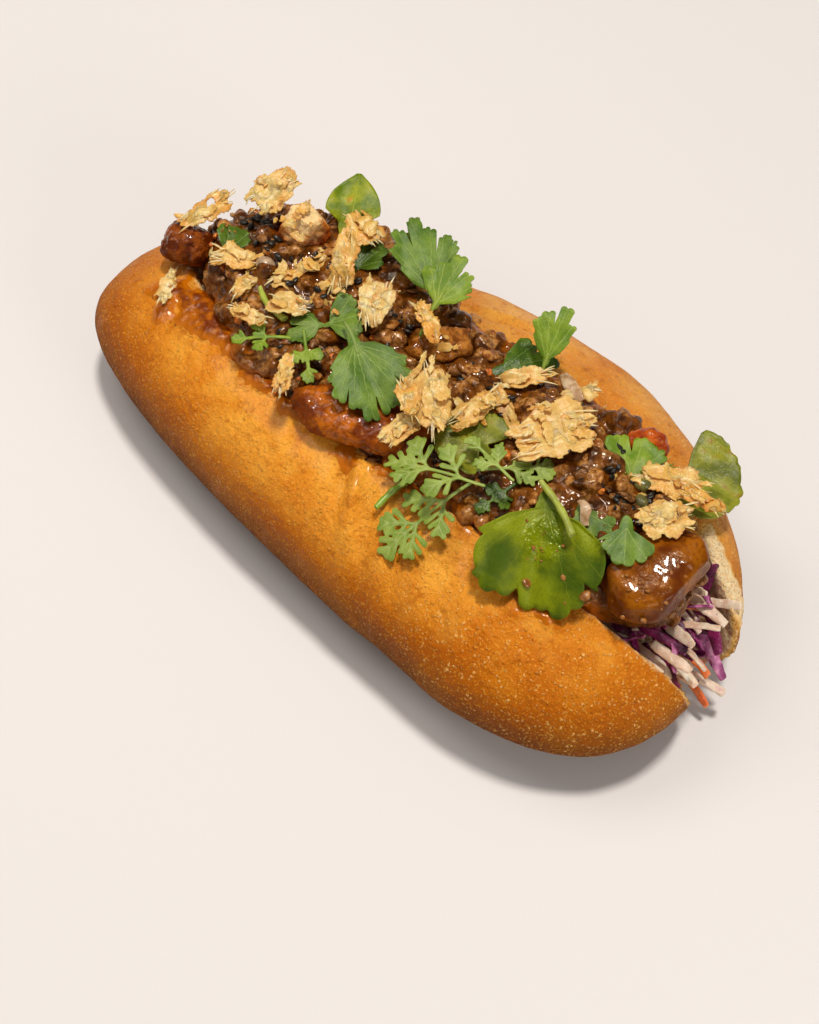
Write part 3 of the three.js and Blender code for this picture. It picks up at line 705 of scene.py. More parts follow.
chance = random.Random(11)
shreds = {kind: ([], []) for kind in SHRED_LOOKS}
for kind, begin, end, bow, wide, thick in HANGING:
    strip(*shreds[kind], bowed(begin, end, bow, chance, 12, 0.7), wide * 1.1 * MM, thick * 0.6 * MM,
          roll=chance.uniform(-0.5, 0.5), twist=chance.uniform(-0.9, 0.9))
tucked = 0
while tucked < TUCKED_IN["count"]:
    begin = Vector([chance.uniform(*TUCKED_IN[axis]) for axis in "xyz"])
    yaw, pitch = chance.uniform(-0.9, 0.7), chance.uniform(-0.35, 0.35)
    reach = chance.uniform(*TUCKED_IN["length"])
    heading = Vector((math.cos(yaw) * math.cos(pitch), math.sin(yaw) * math.cos(pitch), math.sin(pitch)))
    path = bowed(begin, begin + heading * reach, chance.uniform(-2, 3), chance, 8, 1.0)
    kind = chance.choices(list(SHRED_LOOKS), (5.5, 2.6, 2.6, 1.3))[0]
    wide, thick = chance.uniform(1.4, 3.9), chance.uniform(0.7, 1.2)
    clear = all(inside(bread_tree, place) < -0.6 * MM and inside(pieces_tree, place) < -0.8 * MM
                and place.z > 8 * MM and place.x < 113 * MM for place in path)
    if clear:
        strip(*shreds[kind], path, wide * MM, thick * MM, roll=chance.uniform(-1.2, 1.2),
              twist=chance.uniform(-1, 1))
        tucked += 1
    elif chance.random() < SKIP:
        tucked += 1

for kind, (deep, pale) in SHRED_LOOKS.items():
    shredded = mesh_piece("shreds_" + kind, *shreds[kind])
    subdivide(shredded)
    roughen(shredded, 1.5, 0.6, depth=1)
    shred_paint, tree, skin, mottled = new_material("shred_" + kind, patch=4, grain=0.5)
    colour = mixed(tree, between(tree, mottled["Patches"], 0.36, 0.62), deep, pale)
    if kind in ("white", "violet"):
        edge = (0.62, 0.22, 0.30) if kind == "white" else (0.84, 0.60, 0.60)
        colour = stained(tree, colour, edge, between(tree, mottled["Patches"], 0.56, 0.70), 0.5)
    paint_with(tree, skin, Base_Color=colour, Roughness=0.24, soft=(0.5, (1.0, 0.7, 0.5), 1.2))
    relief(tree, skin, (mottled["Grain"], 0.22), (mottled["Patches"], 0.4))
    finish_piece(shredded, shred_paint, "slaw", "slaw")

# ---------------------------------------------------------------- relish
# The heap that everything lies in: pork mince and mushroom cooked down in a dark sticky sauce, with
# chopped onion and carrot stirred in. It is glossy, wet and lumpy, and its sauce wells up to the lip.

SAUCE_WELL = {"swell": 1.8, "reach": 6}
MINCE = {"count": 520, "size": (2.4, 7.6), "shape": (1.25, 1.0, 0.8), "sides": 7}
ABOVE_ALL = 90  # a height over everything, from which the top is looked for
HEAP_VOXEL = 1.0
SAUCED_VOXEL = 0.72  # fine enough for the crumbs of mince to stand out of the sauce

CHOPPED = {
    "mushroom": {"count": 44, "size": (2.6, 6.2), "shape": (1.5, 1.0, 0.45), "sides": 7,
                 "pale": (0.30, 0.12, 0.030), "deep": (0.050, 0.016, 0.003), "rough": 0.12},
    "onion": {"count": 90, "size": (2.2, 6.0), "shape": (1.3, 1.0, 0.5), "sides": 7,
              "pale": (0.62, 0.28, 0.065), "deep": (0.27, 0.075, 0.008), "rough": 0.10},
    "carrot_bit": {"count": 30, "size": (2.4, 4.8), "shape": (1.0, 0.9, 0.8), "sides": 6,
                   "pale": (0.74, 0.22, 0.030), "deep": (0.40, 0.080, 0.006), "rough": 0.16},
}


def lumps(name, spots, shape, sides, chance):
    """Many small bits as one mesh: each is a ball cut flat on a few random sides, a cube where sides is 6
    and round where it is 0. A spot is (place, size), both in metres."""
    bpy.ops.mesh.primitive_ico_sphere_add(subdivisions=3 if sides else 2, radius=1)
    model = bpy.context.object
    ball = points_of(model)
    corners = [list(face.vertices) for face in model.data.polygons]
    bpy.data.objects.remove(model)
    points, faces = [], []
    for place, size in spots:
        spin = Matrix.Rotation(chance.uniform(0, 6.28), 3, "Z") @ Matrix.Rotation(
            chance.gauss(0, 0.45), 3, "X") @ Matrix.Rotation(chance.gauss(0, 0.45), 3, "Y")
        reach = np.ones(len(ball))
        for side in range(sides):
            facing = np.array(Vector([chance.gauss(0, 1) for _ in range(3)]).normalized())
            if sides == 6:
                facing = 0.12 * facing + np.eye(3)[side // 2] * (1, -1)[side % 2]
            reach = np.minimum(reach, chance.uniform(0.52, 0.82) / np.maximum(ball @ facing, 0.05))
        rippled = 1 + 0.10 * cloud(3 * ball[:, 0] + 9 * chance.random(), 3 * ball[:, 1] + 3 * ball[:, 2], 8)
        shaped = ball * (reach * rippled)[:, None] * np.array(shape) * (size / 2)
        shaped = shaped @ np.array(spin).T + np.array(place)
        start = len(points)
        points += shaped.tolist()
        faces += [[start + i for i in face] for face in corners]
    return mesh_piece(name, points, faces)


def top_at(tree, x, y):
    """The highest place of a surface at x and y in millimetres, and which way it faces there."""
    return tree.ray_cast(Vector((x, y, ABOVE_ALL)) * MM, Vector((0, 0, -1)))[:2]


def spots_on(tree, count, sizes, chance, sink, x_range=(-97, 101), y_range=(-34, 46), blocked=None,
             clear_by=0.45):
    """Seeded places on the top of the relish that no leaf, flake or meat covers."""
    spots = []
    tries = 0
    while len(spots) < count and tries < 40 * count:
        tries += 1
        x, y = chance.uniform(*x_range), chance.uniform(*y_range)
        place, outwards = top_at(tree, x, y)
        size = sizes[0] * MM + (sizes[1] - sizes[0]) * MM * chance.random() ** 1.6
        if place is None or outwards.z < 0.2:
            continue
        place = place + outwards * size * (0.25 - sink)
        if blocked and blocked.find_nearest(place)[3] < size * clear_by:
            continue
        spots.append((place, size))
    return spots


def joined(pieces, name):
    """Joins pieces into the first one."""
    only(pieces[0])
    for piece in pieces[1:]:
        piece.select_set(True)
    bpy.ops.object.join()
    pieces[0].name = pieces[0].data.name = name
    return pieces[0]


heap = merged_copy("relish", "relish_heap")
remesh(heap, HEAP_VOXEL)
soften(heap, 3)
places, outward = points_of(heap), points_of(heap, "normal")
from_bread = distances_to(bread_tree, places)
upper = smooth_step(30 * MM, 34 * MM, places[:, 2]) * smooth_step(0.95, 0.6, outward[:, 2])
swell = SAUCE_WELL["swell"] * smooth_step(SAUCE_WELL["reach"], 1.0, from_bread) * upper
move_points(heap, places + np.stack([0 * swell, np.sign(outward[:, 1]) * swell, 0.15 * swell], 1) * MM)
roughen(heap, 6, 1.6, depth=2)
relish_tree = surface_of(heap)

# the mince is one body with its sauce; each point remembers which crumb of it it belongs to
chance = random.Random(23)
crumbs = spots_on(relish_tree, MINCE["count"], MINCE["size"], chance, 0.12, blocked=pieces_tree,
                  clear_by=0.38)
mince = lumps("mince", crumbs, MINCE["shape"], MINCE["sides"], chance)
heap = joined([heap, mince], "relish_heap")
remesh(heap, SAUCED_VOXEL)
soften(heap, 2)
crumb_tree = nearest_of([place for place, _ in crumbs])
shades = [0.1 + 0.9 * chance.random() ** 1.4 for _ in crumbs]
bare = []
for place in points_of(heap).tolist():
    _, number, distance = crumb_tree.find(place)
    bare.append(shades[number] * float(smooth_step(0.72, 0.50, distance / crumbs[number][1])))
keep_values(heap, "mince", bare)
keep_values(heap, "lip", distances_to(bread_tree, points_of(heap)))
roughen(heap, 1.8, 0.6, depth=1)

relish_paint, tree, skin, mottled = new_material("sticky_relish", patch=4, grain=1.6, dot=2.2)
sticky = mixed(tree, between(tree, mottled["Patches"], 0.38, 0.62), (0.055, 0.013, 0.001),
               (0.20, 0.055, 0.003))
meaty = mixed(tree, between(tree, mottled["Grain"], 0.36, 0.64), (0.20, 0.062, 0.006),
              (0.54, 0.24, 0.060))
mince_at = value_at(tree, "mince")
colour = mixed(tree, between(tree, mince_at, 0.05, 0.95), sticky, meaty)
lip_at = value_at(tree, "lip")
by_lip = times(tree, between(tree, lip_at, 5.0, 0.8), between(tree, mottled["Patches"], 0.62, 0.42))
colour = stained(tree, colour, (0.56, 0.14, 0.004), by_lip, 0.8)
gloss = mixed(tree, between(tree, mince_at, 0.1, 0.7), 0.09, 0.24)
paint_with(tree, skin, Base_Color=colour, Roughness=gloss, Specular_Tint=(1.0, 0.88, 0.74),
           soft=(0.15, (1.0, 0.35, 0.1), 1.0))
relief(tree, skin, (mottled["Grain"], 0.35), (mottled["Dots"], 0.15))
finish_piece(heap, relish_paint, "relish", "relish")

for kind, chop in CHOPPED.items():
    spots = spots_on(relish_tree, chop["count"], chop["size"], chance, -0.12, blocked=pieces_tree)
    bits = lumps("relish_" + kind, spots, chop["shape"], chop["sides"], chance)
    soften(bits, 2)
    bit_paint, tree, skin, mottled = new_material("relish_" + kind, patch=2.2, grain=0.5, dot=1.2)
    colour = mixed(tree, between(tree, mottled["Patches"], 0.36, 0.62), chop["deep"], chop["pale"])
    colour = stained(tree, colour, (0.16, 0.045, 0.006), between(tree, mottled["Grain"], 0.55, 0.75),
                     0.5)
    paint_with(tree, skin, Base_Color=colour, Roughness=chop["rough"], Specular_Tint=(1.0, 0.85, 0.65),
               soft=(0.3, (1.0, 0.5, 0.2), 1.2))
    relief(tree, skin, (mottled["Grain"], 0.30), (mottled["Patches"], 0.35))
    finish_piece(bits, bit_paint, "relish")

# ---------------------------------------------------------------- glazed pork
# Pieces of pork belly braised and glazed until the sauce sets to a clear caramel over them. The lean
# meat is red-brown and grainy, the fat amber and translucent. One cube is fried crisp, with a cream
# middle and a brown rim.

MEAT = {
    "pork_end": {"deep": (0.12, 0.018, 0.001), "pale": (0.33, 0.078, 0.006), "lump": 3.0, "high": 1.6},
    "pork_lip": {"deep": (0.18, 0.030, 0.001), "pale": (0.52, 0.135, 0.004), "lump": 4.5, "high": 1.5},
    "pork_open": {"deep": (0.12, 0.022, 0.001), "pale": (0.34, 0.105, 0.003), "lump": 8.0, "high": 1.2},
    "pork_back": {"deep": (0.28, 0.030, 0.001), "pale": (0.62, 0.12, 0.006), "lump": 3.5, "high": 1.2},
    "pork_middle": {"deep": (0.17, 0.045, 0.003), "pale": (0.52, 0.20, 0.030), "lump": 3.0, "high": 1.8},
    "crackling": {"deep": (0.66, 0.21, 0.020), "pale": (0.96, 0.68, 0.32), "lump": 3.2, "high": 1.4},
}

MEAT_VOXEL = 0.6

# flat sides where the fried cube was cut: facing, and distance from its middle
CRACKLING_CUTS = [((0.2, -0.9, 0.5), 4.6), ((-0.9, -0.3, 0.4), 5.4), ((0.1, 0.3, 1), 4.4),
                  ((0.95, -0.2, 0.3), 5.6), ((0.3, 0.9, 0.3), 5.2), ((-0.5, 0.5, 0.7), 5.4)]

for name, look in MEAT.items():
    crisp = name == "crackling"
    meat = merged_copy(name, name + "_meat")
    remesh(meat, MEAT_VOXEL)
    soften(meat, 6 if crisp else 12)
    if crisp:
        places = points_of(meat)
        lowest, highest = [np.array(corner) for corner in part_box(name)]
        for facing, keep in CRACKLING_CUTS:
            facing = np.array(facing) / np.linalg.norm(facing)
            past = (places - (lowest + highest) / 2) @ facing - keep * MM
            places -= np.maximum(past, 0)[:, None] * facing * 0.9
        move_points(meat, places)
    roughen(meat, look["lump"], look["high"], depth=2)
    if name != "pork_open":
        roughen(meat, 2.0, 0.7, kind="VORONOI")
        roughen(meat, 1.1, 0.45, depth=1)
    places, (lowest, highest) = points_of(meat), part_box(name)
    half = (np.array(highest) - np.array(lowest)) / 2
    middle = (np.array(highest) + np.array(lowest)) / 2
    keep_values(meat, "rim", np.linalg.norm(((places - middle) / half)[:, :2], axis=1))
    meat_paint, tree, skin, mottled = new_material(name + "_glaze", patch=look["lump"] * 1.3, grain=0.7,
                                                   dot=1.6)
    colour = mixed(tree, between(tree, mottled["Patches"], 0.38, 0.62), look["deep"], look["pale"])
    fibres = noise_at(tree, 900, 3)
    colour = stained(tree, colour, look["deep"], between(tree, fibres, 0.48, 0.68), 0.5)
    rim_at = value_at(tree, "rim")
    if crisp:
        toasted = maths(tree, "ADD", rim_at, times(tree, mottled["Patches"], 0.9))
        colour = mixed(tree, between(tree, toasted, 0.95, 1.10), look["pale"], colour)
        colour = stained(tree, colour, (0.46, 0.085, 0.006), between(tree, toasted, 1.12, 1.35))
    else:
        specks = times(tree, mottled["Dots"], between(tree, mottled["Dot Tint"], 0.8, 0.9))
        colour = stained(tree, colour, (0.50, 0.20, 0.05), specks, 0.5)
        colour = stained(tree, colour, look["deep"], between(tree, rim_at, 0.80, 1.05), 0.7)
    paint_with(tree, skin, Base_Color=colour, Roughness=0.42 if crisp else 0.20,
               Coat_Weight=0.0 if crisp else times(tree, between(tree, rim_at, 1.0, 0.7), 0.7),
               Coat_Roughness=0.05, Coat_IOR=1.33, Coat_Tint=(1.0, 0.93, 0.82),
               Specular_Tint=(1.0, 0.80, 0.58), Specular_IOR_Level=0.12,
               soft=(0.2, (1.0, 0.30, 0.08), 1.5))
    relief(tree, skin, (mottled["Grain"], 0.1 if name == "pork_open" else 0.45),
           (mottled["Patches"], 0.8 if name == "pork_open" else 1.1), (fibres, 0.1))
    finish_piece(meat, meat_paint, name if crisp else "glazed_pork", name)

# ---------------------------------------------------------------- coriander leaves
# Fresh coriander: thin soft leaves whose rounded lobes fan out from a thin stalk, toothed along the
# rim and veined from the heart outwards. The youngest ones are feathery fronds, and sauce has made
# the largest leaf dark and glossy.

LEAF_THICK = 0.35
LEAF_BEND = {"cup": 0.012, "droop": 0.008, "wave": 0.5}
LOBE_STEPS = 24  # points along the rim of one lobe
LEAF_RINGS = 16
EDGE_WELD = 0.03  # joins points that slid to the same place on a cut edge
FROND_STEP = 0.28
FROND_THICK = 0.42
WET_SPOT = (57, -17, 57)  # where dressing stands on the largest leaf
WEB = 0.20  # how softly the lobes of a frond grow together

GREENS = {
    "fresh": {"deep": (0.085, 0.165, 0.014), "pale": (0.19, 0.29, 0.034), "vein": (0.36, 0.45, 0.13),
              "rough": 0.42},
    "bright": {"deep": (0.13, 0.23, 0.010), "pale": (0.27, 0.37, 0.022), "vein": (0.42, 0.50, 0.10),
               "rough": 0.40},
    "dark": {"deep": (0.040, 0.085, 0.004), "pale": (0.105, 0.18, 0.009), "vein": (0.20, 0.30, 0.06),
             "rough": 0.30},
    "wet": {"deep": (0.050, 0.095, 0.0005), "pale": (0.24, 0.28, 0.0008), "vein": (0.34, 0.35, 0.010),
            "rough": 0.46},
    "spotted": {"deep": (0.13, 0.20, 0.001), "pale": (0.36, 0.38, 0.002), "vein": (0.44, 0.48, 0.03),
                "rough": 0.42},
    "olive": {"deep": (0.12, 0.14, 0.005), "pale": (0.32, 0.32, 0.024), "vein": (0.34, 0.34, 0.06),
               "rough": 0.36},
    "frond": {"deep": (0.20, 0.29, 0.030), "pale": (0.34, 0.43, 0.075), "vein": (0.52, 0.58, 0.24),
              "rough": 0.5},
}

# from the lowest leaf to the highest: turn from +X, length, lobes over their spread, how deep the
# notches are, teeth to a lobe, how much shorter the outer lobes are, how full the rim is
# between its teeth, how pointed each lobe and how round the whole leaf is, the heel behind the
# heart, stalk, pitch and the crease at the rib; a feathery leaf has blades instead of lobes
LEAVES = [
    {"name": "leaf_under", "green": "olive", "turn": 176, "length": 14, "lobes": 4, "spread": 250,
     "notch": 0.05, "heel": 6, "teeth": 3, "fill": 0.93},
    {"name": "leaf_cup_a", "green": "fresh", "turn": -52, "length": 13, "lobes": 4, "spread": 150,
     "notch": 0.25, "heel": 4, "teeth": 2},
    {"name": "leaf_cup_b", "green": "fresh", "turn": -59, "length": 12, "lobes": 3, "spread": 110,
     "notch": 0.25, "heel": 4, "teeth": 2},
    {"name": "leaf_olive", "green": "spotted", "turn": 118, "length": 20, "lobes": 1, "spread": 120,
     "notch": 0.0, "point": 0.42, "heel": 8, "pitch": 24, "teeth": 0, "fill": 0.95},
    {"name": "leaf_wet", "green": "dark", "turn": 104, "length": 11, "lobes": 2, "spread": 90,
     "notch": 0.15, "heel": 3, "teeth": 2},
    {"name": "leaf_pair", "green": "dark", "turn": 93, "length": 11, "lobes": 4, "spread": 130,
     "notch": 0.35, "pitch": 10, "teeth": 2},
    {"name": "leaf_pale", "green": "frond", "turn": 137, "length": 16, "lobes": 3, "spread": 50,
     "notch": 0.5, "pitch": 55, "teeth": 1},
    {"name": "leaf_back_left", "green": "fresh", "turn": 136, "length": 24, "lobes": 6, "spread": 80,
     "notch": 0.25, "pitch": 20, "teeth": 3},
    {"name": "leaf_back_right", "green": "bright", "turn": 96, "length": 16, "lobes": 5, "spread": 95,
     "notch": 0.2, "stalk": 11, "pitch": 24, "teeth": 2},
    {"name": "leaf_lobed", "green": "fresh", "turn": -140, "length": 10, "lobes": 4, "spread": 130,
     "notch": 0.4, "taper": 0.1, "teeth": 2},
    {"name": "leaf_blade", "green": "fresh", "turn": 50, "length": 14, "lobes": 3, "spread": 110,
     "notch": 0.2, "pitch": 15, "teeth": 3},
    {"name": "sprig_left", "green": "bright", "turn": -142, "length": 12, "spread": 130, "stalk": 6,
     "feathery": True},
    {"name": "sprig_mid", "green": "bright", "turn": -45, "length": 12, "spread": 120, "stalk": 6,
     "feathery": True},
    {"name": "leaf_folded", "green": "dark", "turn": 59, "length": 18, "lobes": 3, "spread": 75,
     "notch": 0.2, "heel": 4, "teeth": 2},
    {"name": "leaf_upright", "green": "bright", "turn": 112, "length": 17, "lobes": 4, "spread": 70,
     "notch": 0.22, "pitch": 34, "stalk": 5, "teeth": 2},
    {"name": "frond_far", "green": "frond", "turn": 40, "length": 17, "spread": 40, "stalk": 8,
     "feathery": True},
    {"name": "frond_low", "green": "dark", "turn": -105, "length": 12, "spread": 75, "stalk": 8,
     "feathery": True},
    {"name": "frond_lower", "green": "frond", "turn": -108, "length": 26, "spread": 78, "stalk": 8,
     "pitch": -12, "feathery": True},
    {"name": "frond_upper", "green": "frond", "turn": -163, "length": 24, "spread": 74, "stalk": 6,
     "feathery": True},
    {"name": "frond_right", "green": "frond", "turn": 168, "length": 15, "spread": 80, "stalk": 5,
     "feathery": True},
    {"name": "leaf_large", "green": "wet", "turn": -62, "length": 32, "lobes": 5, "spread": 114,
     "notch": 0.13, "taper": 0.05, "heel": 6, "pitch": -14, "teeth": 2, "crease": 1.6, "fill": 0.93,
     "round": 0.14},
    {"name": "leaf_small", "green": "bright", "turn": 108, "length": 14, "lobes": 3, "spread": 100,
     "notch": 0.32, "taper": 0.1, "pitch": 12, "teeth": 3},
    {"name": "leaf_round", "green": "olive", "turn": 10, "length": 17, "lobes": 5, "spread": 190,
     "notch": 0.03, "taper": 0.1, "heel": 6, "teeth": 3, "fill": 0.955},
    {"name": "leaf_fan", "green": "fresh", "turn": -32, "length": 25, "lobes": 8, "spread": 106,
     "notch": 0.18, "taper": 0.42, "heel": 4, "stalk": 9, "teeth": 2},
]


def dice(seed):
    """Random numbers from 0 to 1, the ones that the solid leaves and flakes were cut by."""
    state = seed
    while True:
        state = (state * 1664525 + 1013904223) % 4294967296
        yield state / 4294967296


def leaf_rim(leaf, seed):
    """The leaf's edge as (angle, reach, middle of its lobe): lobes of round teeth, then the heel."""
    draw, chance = dice(seed), random.Random(seed)
    spread, step = leaf["spread"], leaf["spread"] / leaf["lobes"]
    heel, notch = leaf.get("heel", 2), leaf["notch"]
    lobes, teeth = [], []
    for lobe in range(leaf["lobes"]):
        middle = (lobe + 0.5) * step - spread / 2
        outer = leaf.get("taper", 0.3) * (middle / (spread / 2)) ** 2
        reach = leaf["length"] * (1 - outer) * (0.9 + 0.2 * next(draw))
        cleft = 1 if lobe % 2 else -1  # the side with the deep cleft
        if leaf["teeth"] == 1 or notch <= 0.1:
            cleft = 0
        lobes.append((middle, reach, cleft))
        round_by = reach * math.radians(step) / max(2 * leaf["teeth"], 1)
        for tooth in range(leaf["teeth"]):
            side = (tooth + 0.5) / leaf["teeth"] * 2 - 1
            lower = 0.12 if side * cleft > 0 else 0.05
            far = reach * (1 - lower * side * side) * chance.uniform(0.95, 1.02)
            wide = round_by * chance.uniform(0.80, 1.12)
            at = math.radians(middle + step * (0.45 * side - 0.07 * cleft) + chance.uniform(-0.5, 0.5))
            teeth.append((at, far - wide, wide))
    rim = []
    for middle, reach, cleft in lobes:
        for number in range(LOBE_STEPS):
            side = (number + 0.5) / LOBE_STEPS * 2 - 1
            turn = math.radians(middle + side * step / 2)
            deep = notch * (1.05 if side * cleft > 0 else 0.4) * abs(side) ** 3
            outermost = smooth_step(0.62, 1.0, abs(math.degrees(turn)) * 2 / spread)
            deep += leaf.get("round", 0) * outermost + leaf.get("point", 0) * abs(side) ** 0.65
            edge = reach * (leaf.get("fill", 0.90) - deep)
            for at, far, wide in teeth:
                off = far * math.sin(turn - at)
                if abs(off) < wide and (outermost < 0.1 or not leaf.get("round")):
                    edge = max(edge, far * math.cos(turn - at) + math.sqrt(wide * wide - off * off))
            rim.append((turn, max(edge, heel), math.radians(middle)))
    behind = 360 - spread
    last, first = rim[-1][1], rim[0][1]
    for number in range(LOBE_STEPS):
        share = (number + 0.5) / LOBE_STEPS
        drop = max(first, last) * (1 - smooth_step(0, 0.12, min(share, 1 - share)))
        funnel = heel * (0.5 + 0.5 * math.exp(-((share - 0.5) / 0.14) ** 2))
        rim.append((math.radians(spread / 2 + behind * share), max(drop, funnel), None))
    return rim


def fan_sheet(name, rim, rings, height):
    """A sheet round its heart, out to the rim; height(u, v) lifts it. Its UV map measures
    millimetres across and along each lobe."""
    count = len(rim)
    bpy.ops.mesh.primitive_grid_add(x_subdivisions=count, y_subdivisions=rings, size=2)
    piece = bpy.context.object
    piece.name = piece.data.name = name
    mesh = piece.data
    cells = mesh.uv_layers.active.data
    for face in mesh.polygons:
        at = [(round(cells[i].uv.x * count), cells[i].uv.y) for i in face.loop_indices]
        middle = rim[min(step for step, _ in at) % count][2]
        for i, (step, share) in zip(face.loop_indices, at):
            angle, reach, _ = rim[step % count]
            if middle is None:
                cells[i].uv = (9, 0)
            else:
                away = angle - middle
                cells[i].uv = (reach * share * math.sin(away), reach * share * math.cos(away))
    places = points_of(piece)
    steps = np.round((places[:, 0] + 1) / 2 * count).astype(int) % count
    shares = (places[:, 1] + 1) / 2
    angles, reaches = np.array([angle for angle, _, _ in rim]), np.array([reach for _, reach, _ in rim])
    u = reaches[steps] * shares * np.cos(angles[steps])
    v = reaches[steps] * shares * np.sin(angles[steps])
    lift = height(u, v) + 0.5 * shares ** 2 * cloud(u / 4, v / 4, count)
    move_points(piece, np.stack([u, v, lift], 1) * MM)
    with editing(piece):
        bpy.ops.mesh.remove_doubles(threshold=WELD * MM)
        bpy.ops.mesh.normals_make_consistent(inside=False)
    return piece


def cut_sheet(name, low, high, step, amount, height):
    """A sheet cut to shape from a fine grid over the box low to high: amount(u, v) tells how far a
    place lies inside the edge and height(u, v) lifts it, all in millimetres."""
    size = np.array(high) - np.array(low)
    columns, rows = [max(4, round(float(reach) / step)) for reach in size]
    bpy.ops.mesh.primitive_grid_add(x_subdivisions=columns, y_subdivisions=rows, size=2)
    piece = bpy.context.object
    piece.name = piece.data.name = name
    flat = (points_of(piece)[:, :2] + 1) / 2 * size + low
    deep = amount(flat[:, 0], flat[:, 1])
    corners = np.empty(len(piece.data.polygons) * 4, np.int32)
    piece.data.polygons.foreach_get("vertices", corners)
    kept = (deep[corners.reshape(-1, 4)] > 0).sum(1) >= 2
    for _ in range(3):  # the outer points slide onto the edge
        slope = np.stack([amount(flat[:, 0] + 0.05, flat[:, 1]) - deep,
                          amount(flat[:, 0], flat[:, 1] + 0.05) - deep], 1) / 0.05
        pull = -deep[:, None] * slope / np.maximum((slope ** 2).sum(1), 0.05)[:, None]
        pull *= np.minimum(1, step / np.maximum(np.hypot(pull[:, 0], pull[:, 1]), 1e-6))[:, None]
        flat += pull * (deep < 0)[:, None]
        deep = amount(flat[:, 0], flat[:, 1])
    move_points(piece, np.stack([flat[:, 0], flat[:, 1], height(flat[:, 0], flat[:, 1])], 1) * MM)
    keep_values(piece, "from_edge", np.maximum(deep, 0))
    with editing(piece, ~kept):
        bpy.ops.mesh.delete(type="FACE")
        bpy.ops.mesh.select_all(action="SELECT")
        bpy.ops.mesh.remove_doubles(threshold=EDGE_WELD * MM)
        bpy.ops.mesh.normals_make_consistent(inside=False)
    return piece


def lay_on(piece, cad_node, turn, pitch=0):
    """Turns a piece as its solid is turned, and puts the middle of its box at the solid's."""
    turned = Matrix.Rotation(math.radians(turn), 4, "Z") @ Matrix.Rotation(-math.radians(pitch), 4, "Y")
    piece.data.transform(turned)
    points = points_of(piece)
    lowest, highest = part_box(cad_node)
    shift = (lowest + highest) / 2 - Vector((points.min(0) + points.max(0)) / 2)
    piece.data.transform(Matrix.Translation(shift))


def leaf_bend(leaf, number):
    """Height of the leaf's sheet: cupped across, drooping along, waved, and creased at its rib."""
    def height(u, v):
        wave = LEAF_BEND["cup"] * v * v - LEAF_BEND["droop"] * u * u
        wave = wave + LEAF_BEND["wave"] * np.sin(0.6 * v + number)
        rib = leaf.get("crease", 0) * np.exp(-np.square(v / 2.2))
        return wave - rib + 0.35 * cloud(u / 6, v / 6, number)
    return height


def stalk(name, length, height):
    """A leaf's thin stalk from its heart backwards."""
    points, faces = [], []
    path = [Vector((-x, 0.25 * math.sin(x / 2), float(height(-x, 0)) + 0.05)) * MM
            for x in np.linspace(-0.4 * length, length, 10)]
    strip(points, faces, path, 1.15 * MM, 1.0 * MM, taper=0.8)
    return mesh_piece(name, points, faces)


def frond(leaf, number, height):
    """A feathery young leaf: flat blunt lobes in pairs up a thin rib, each lobe cleft in three."""
    length, half = leaf["length"], math.radians(leaf["spread"] / 2)
    chance = random.Random(200 + number)
    blades = []  # start, angle, length, width at the tip

    def leaflet(x, y, angle, size):
        wide = max(size * 0.155, 1.15)
        blades.append((x, y, angle, size, wide))
        for side in (-1, 1):
            for share, reach, turn in ((0.24, 0.52, 0.80), (0.48, 0.44, 0.66), (0.70, 0.30, 0.50)):
                start = (x + share * size * math.cos(angle), y + share * size * math.sin(angle))
                lean = angle + side * (turn + chance.uniform(-0.12, 0.12))
                blades.append((*start, lean, size * reach * chance.uniform(0.80, 1.15), wide * 0.95))

    pairs = max(1, round(length / 11))
    for pair in range(pairs):
        share = (pair + 0.15) / (pairs + 0.5)
        for side in (-1, 1):
            lean = side * min(half * 1.2, 0.95) * (1 - 0.25 * share)
            leaflet(share * length, 0, lean + chance.uniform(-0.12, 0.12),
                    length * chance.uniform(0.46, 0.56) * (1 - 0.25 * share))
    leaflet(length * 0.50, 0, 0, length * 0.50)
    blades.append((-leaf.get("stalk", 0), 0, 0, leaf.get("stalk", 0) + length * 0.7, 1.0))

    def lobes(u, v, ribs=False):
        nearest, grown = np.full(np.shape(u), 9.0), np.zeros(np.shape(u))
        for x, y, angle, size, wide in blades:
            along = np.clip((u - x) * math.cos(angle) + (v - y) * math.sin(angle), 0, size * 0.86)
            off = np.hypot(u - x - along * math.cos(angle), v - y - along * math.sin(angle))
            nearest = np.minimum(nearest, off + 0.25 * along / size)
            swell = 1 if size > length * 0.6 else 0.50 + 0.50 * smooth_step(0, 0.75, along / size)
            grown += np.exp(np.clip((wide / 2 * swell - off) / WEB, -40, 40))
        return nearest if ribs else WEB * np.log(grown + 1e-15)

    reach = length * 0.9
    grown = cut_sheet(leaf["name"] + "_leaf", (-leaf.get("stalk", 0) - 1, -reach), (length + 1, reach),
                      FROND_STEP, lobes, height)
    bare = points_of(grown) / MM
    keep_values(grown, "rib", lobes(bare[:, 0], bare[:, 1], True))
    apply_modifier(grown, "SOLIDIFY", thickness=FROND_THICK * MM, offset=0)
    soften(grown, 2)
    return grown


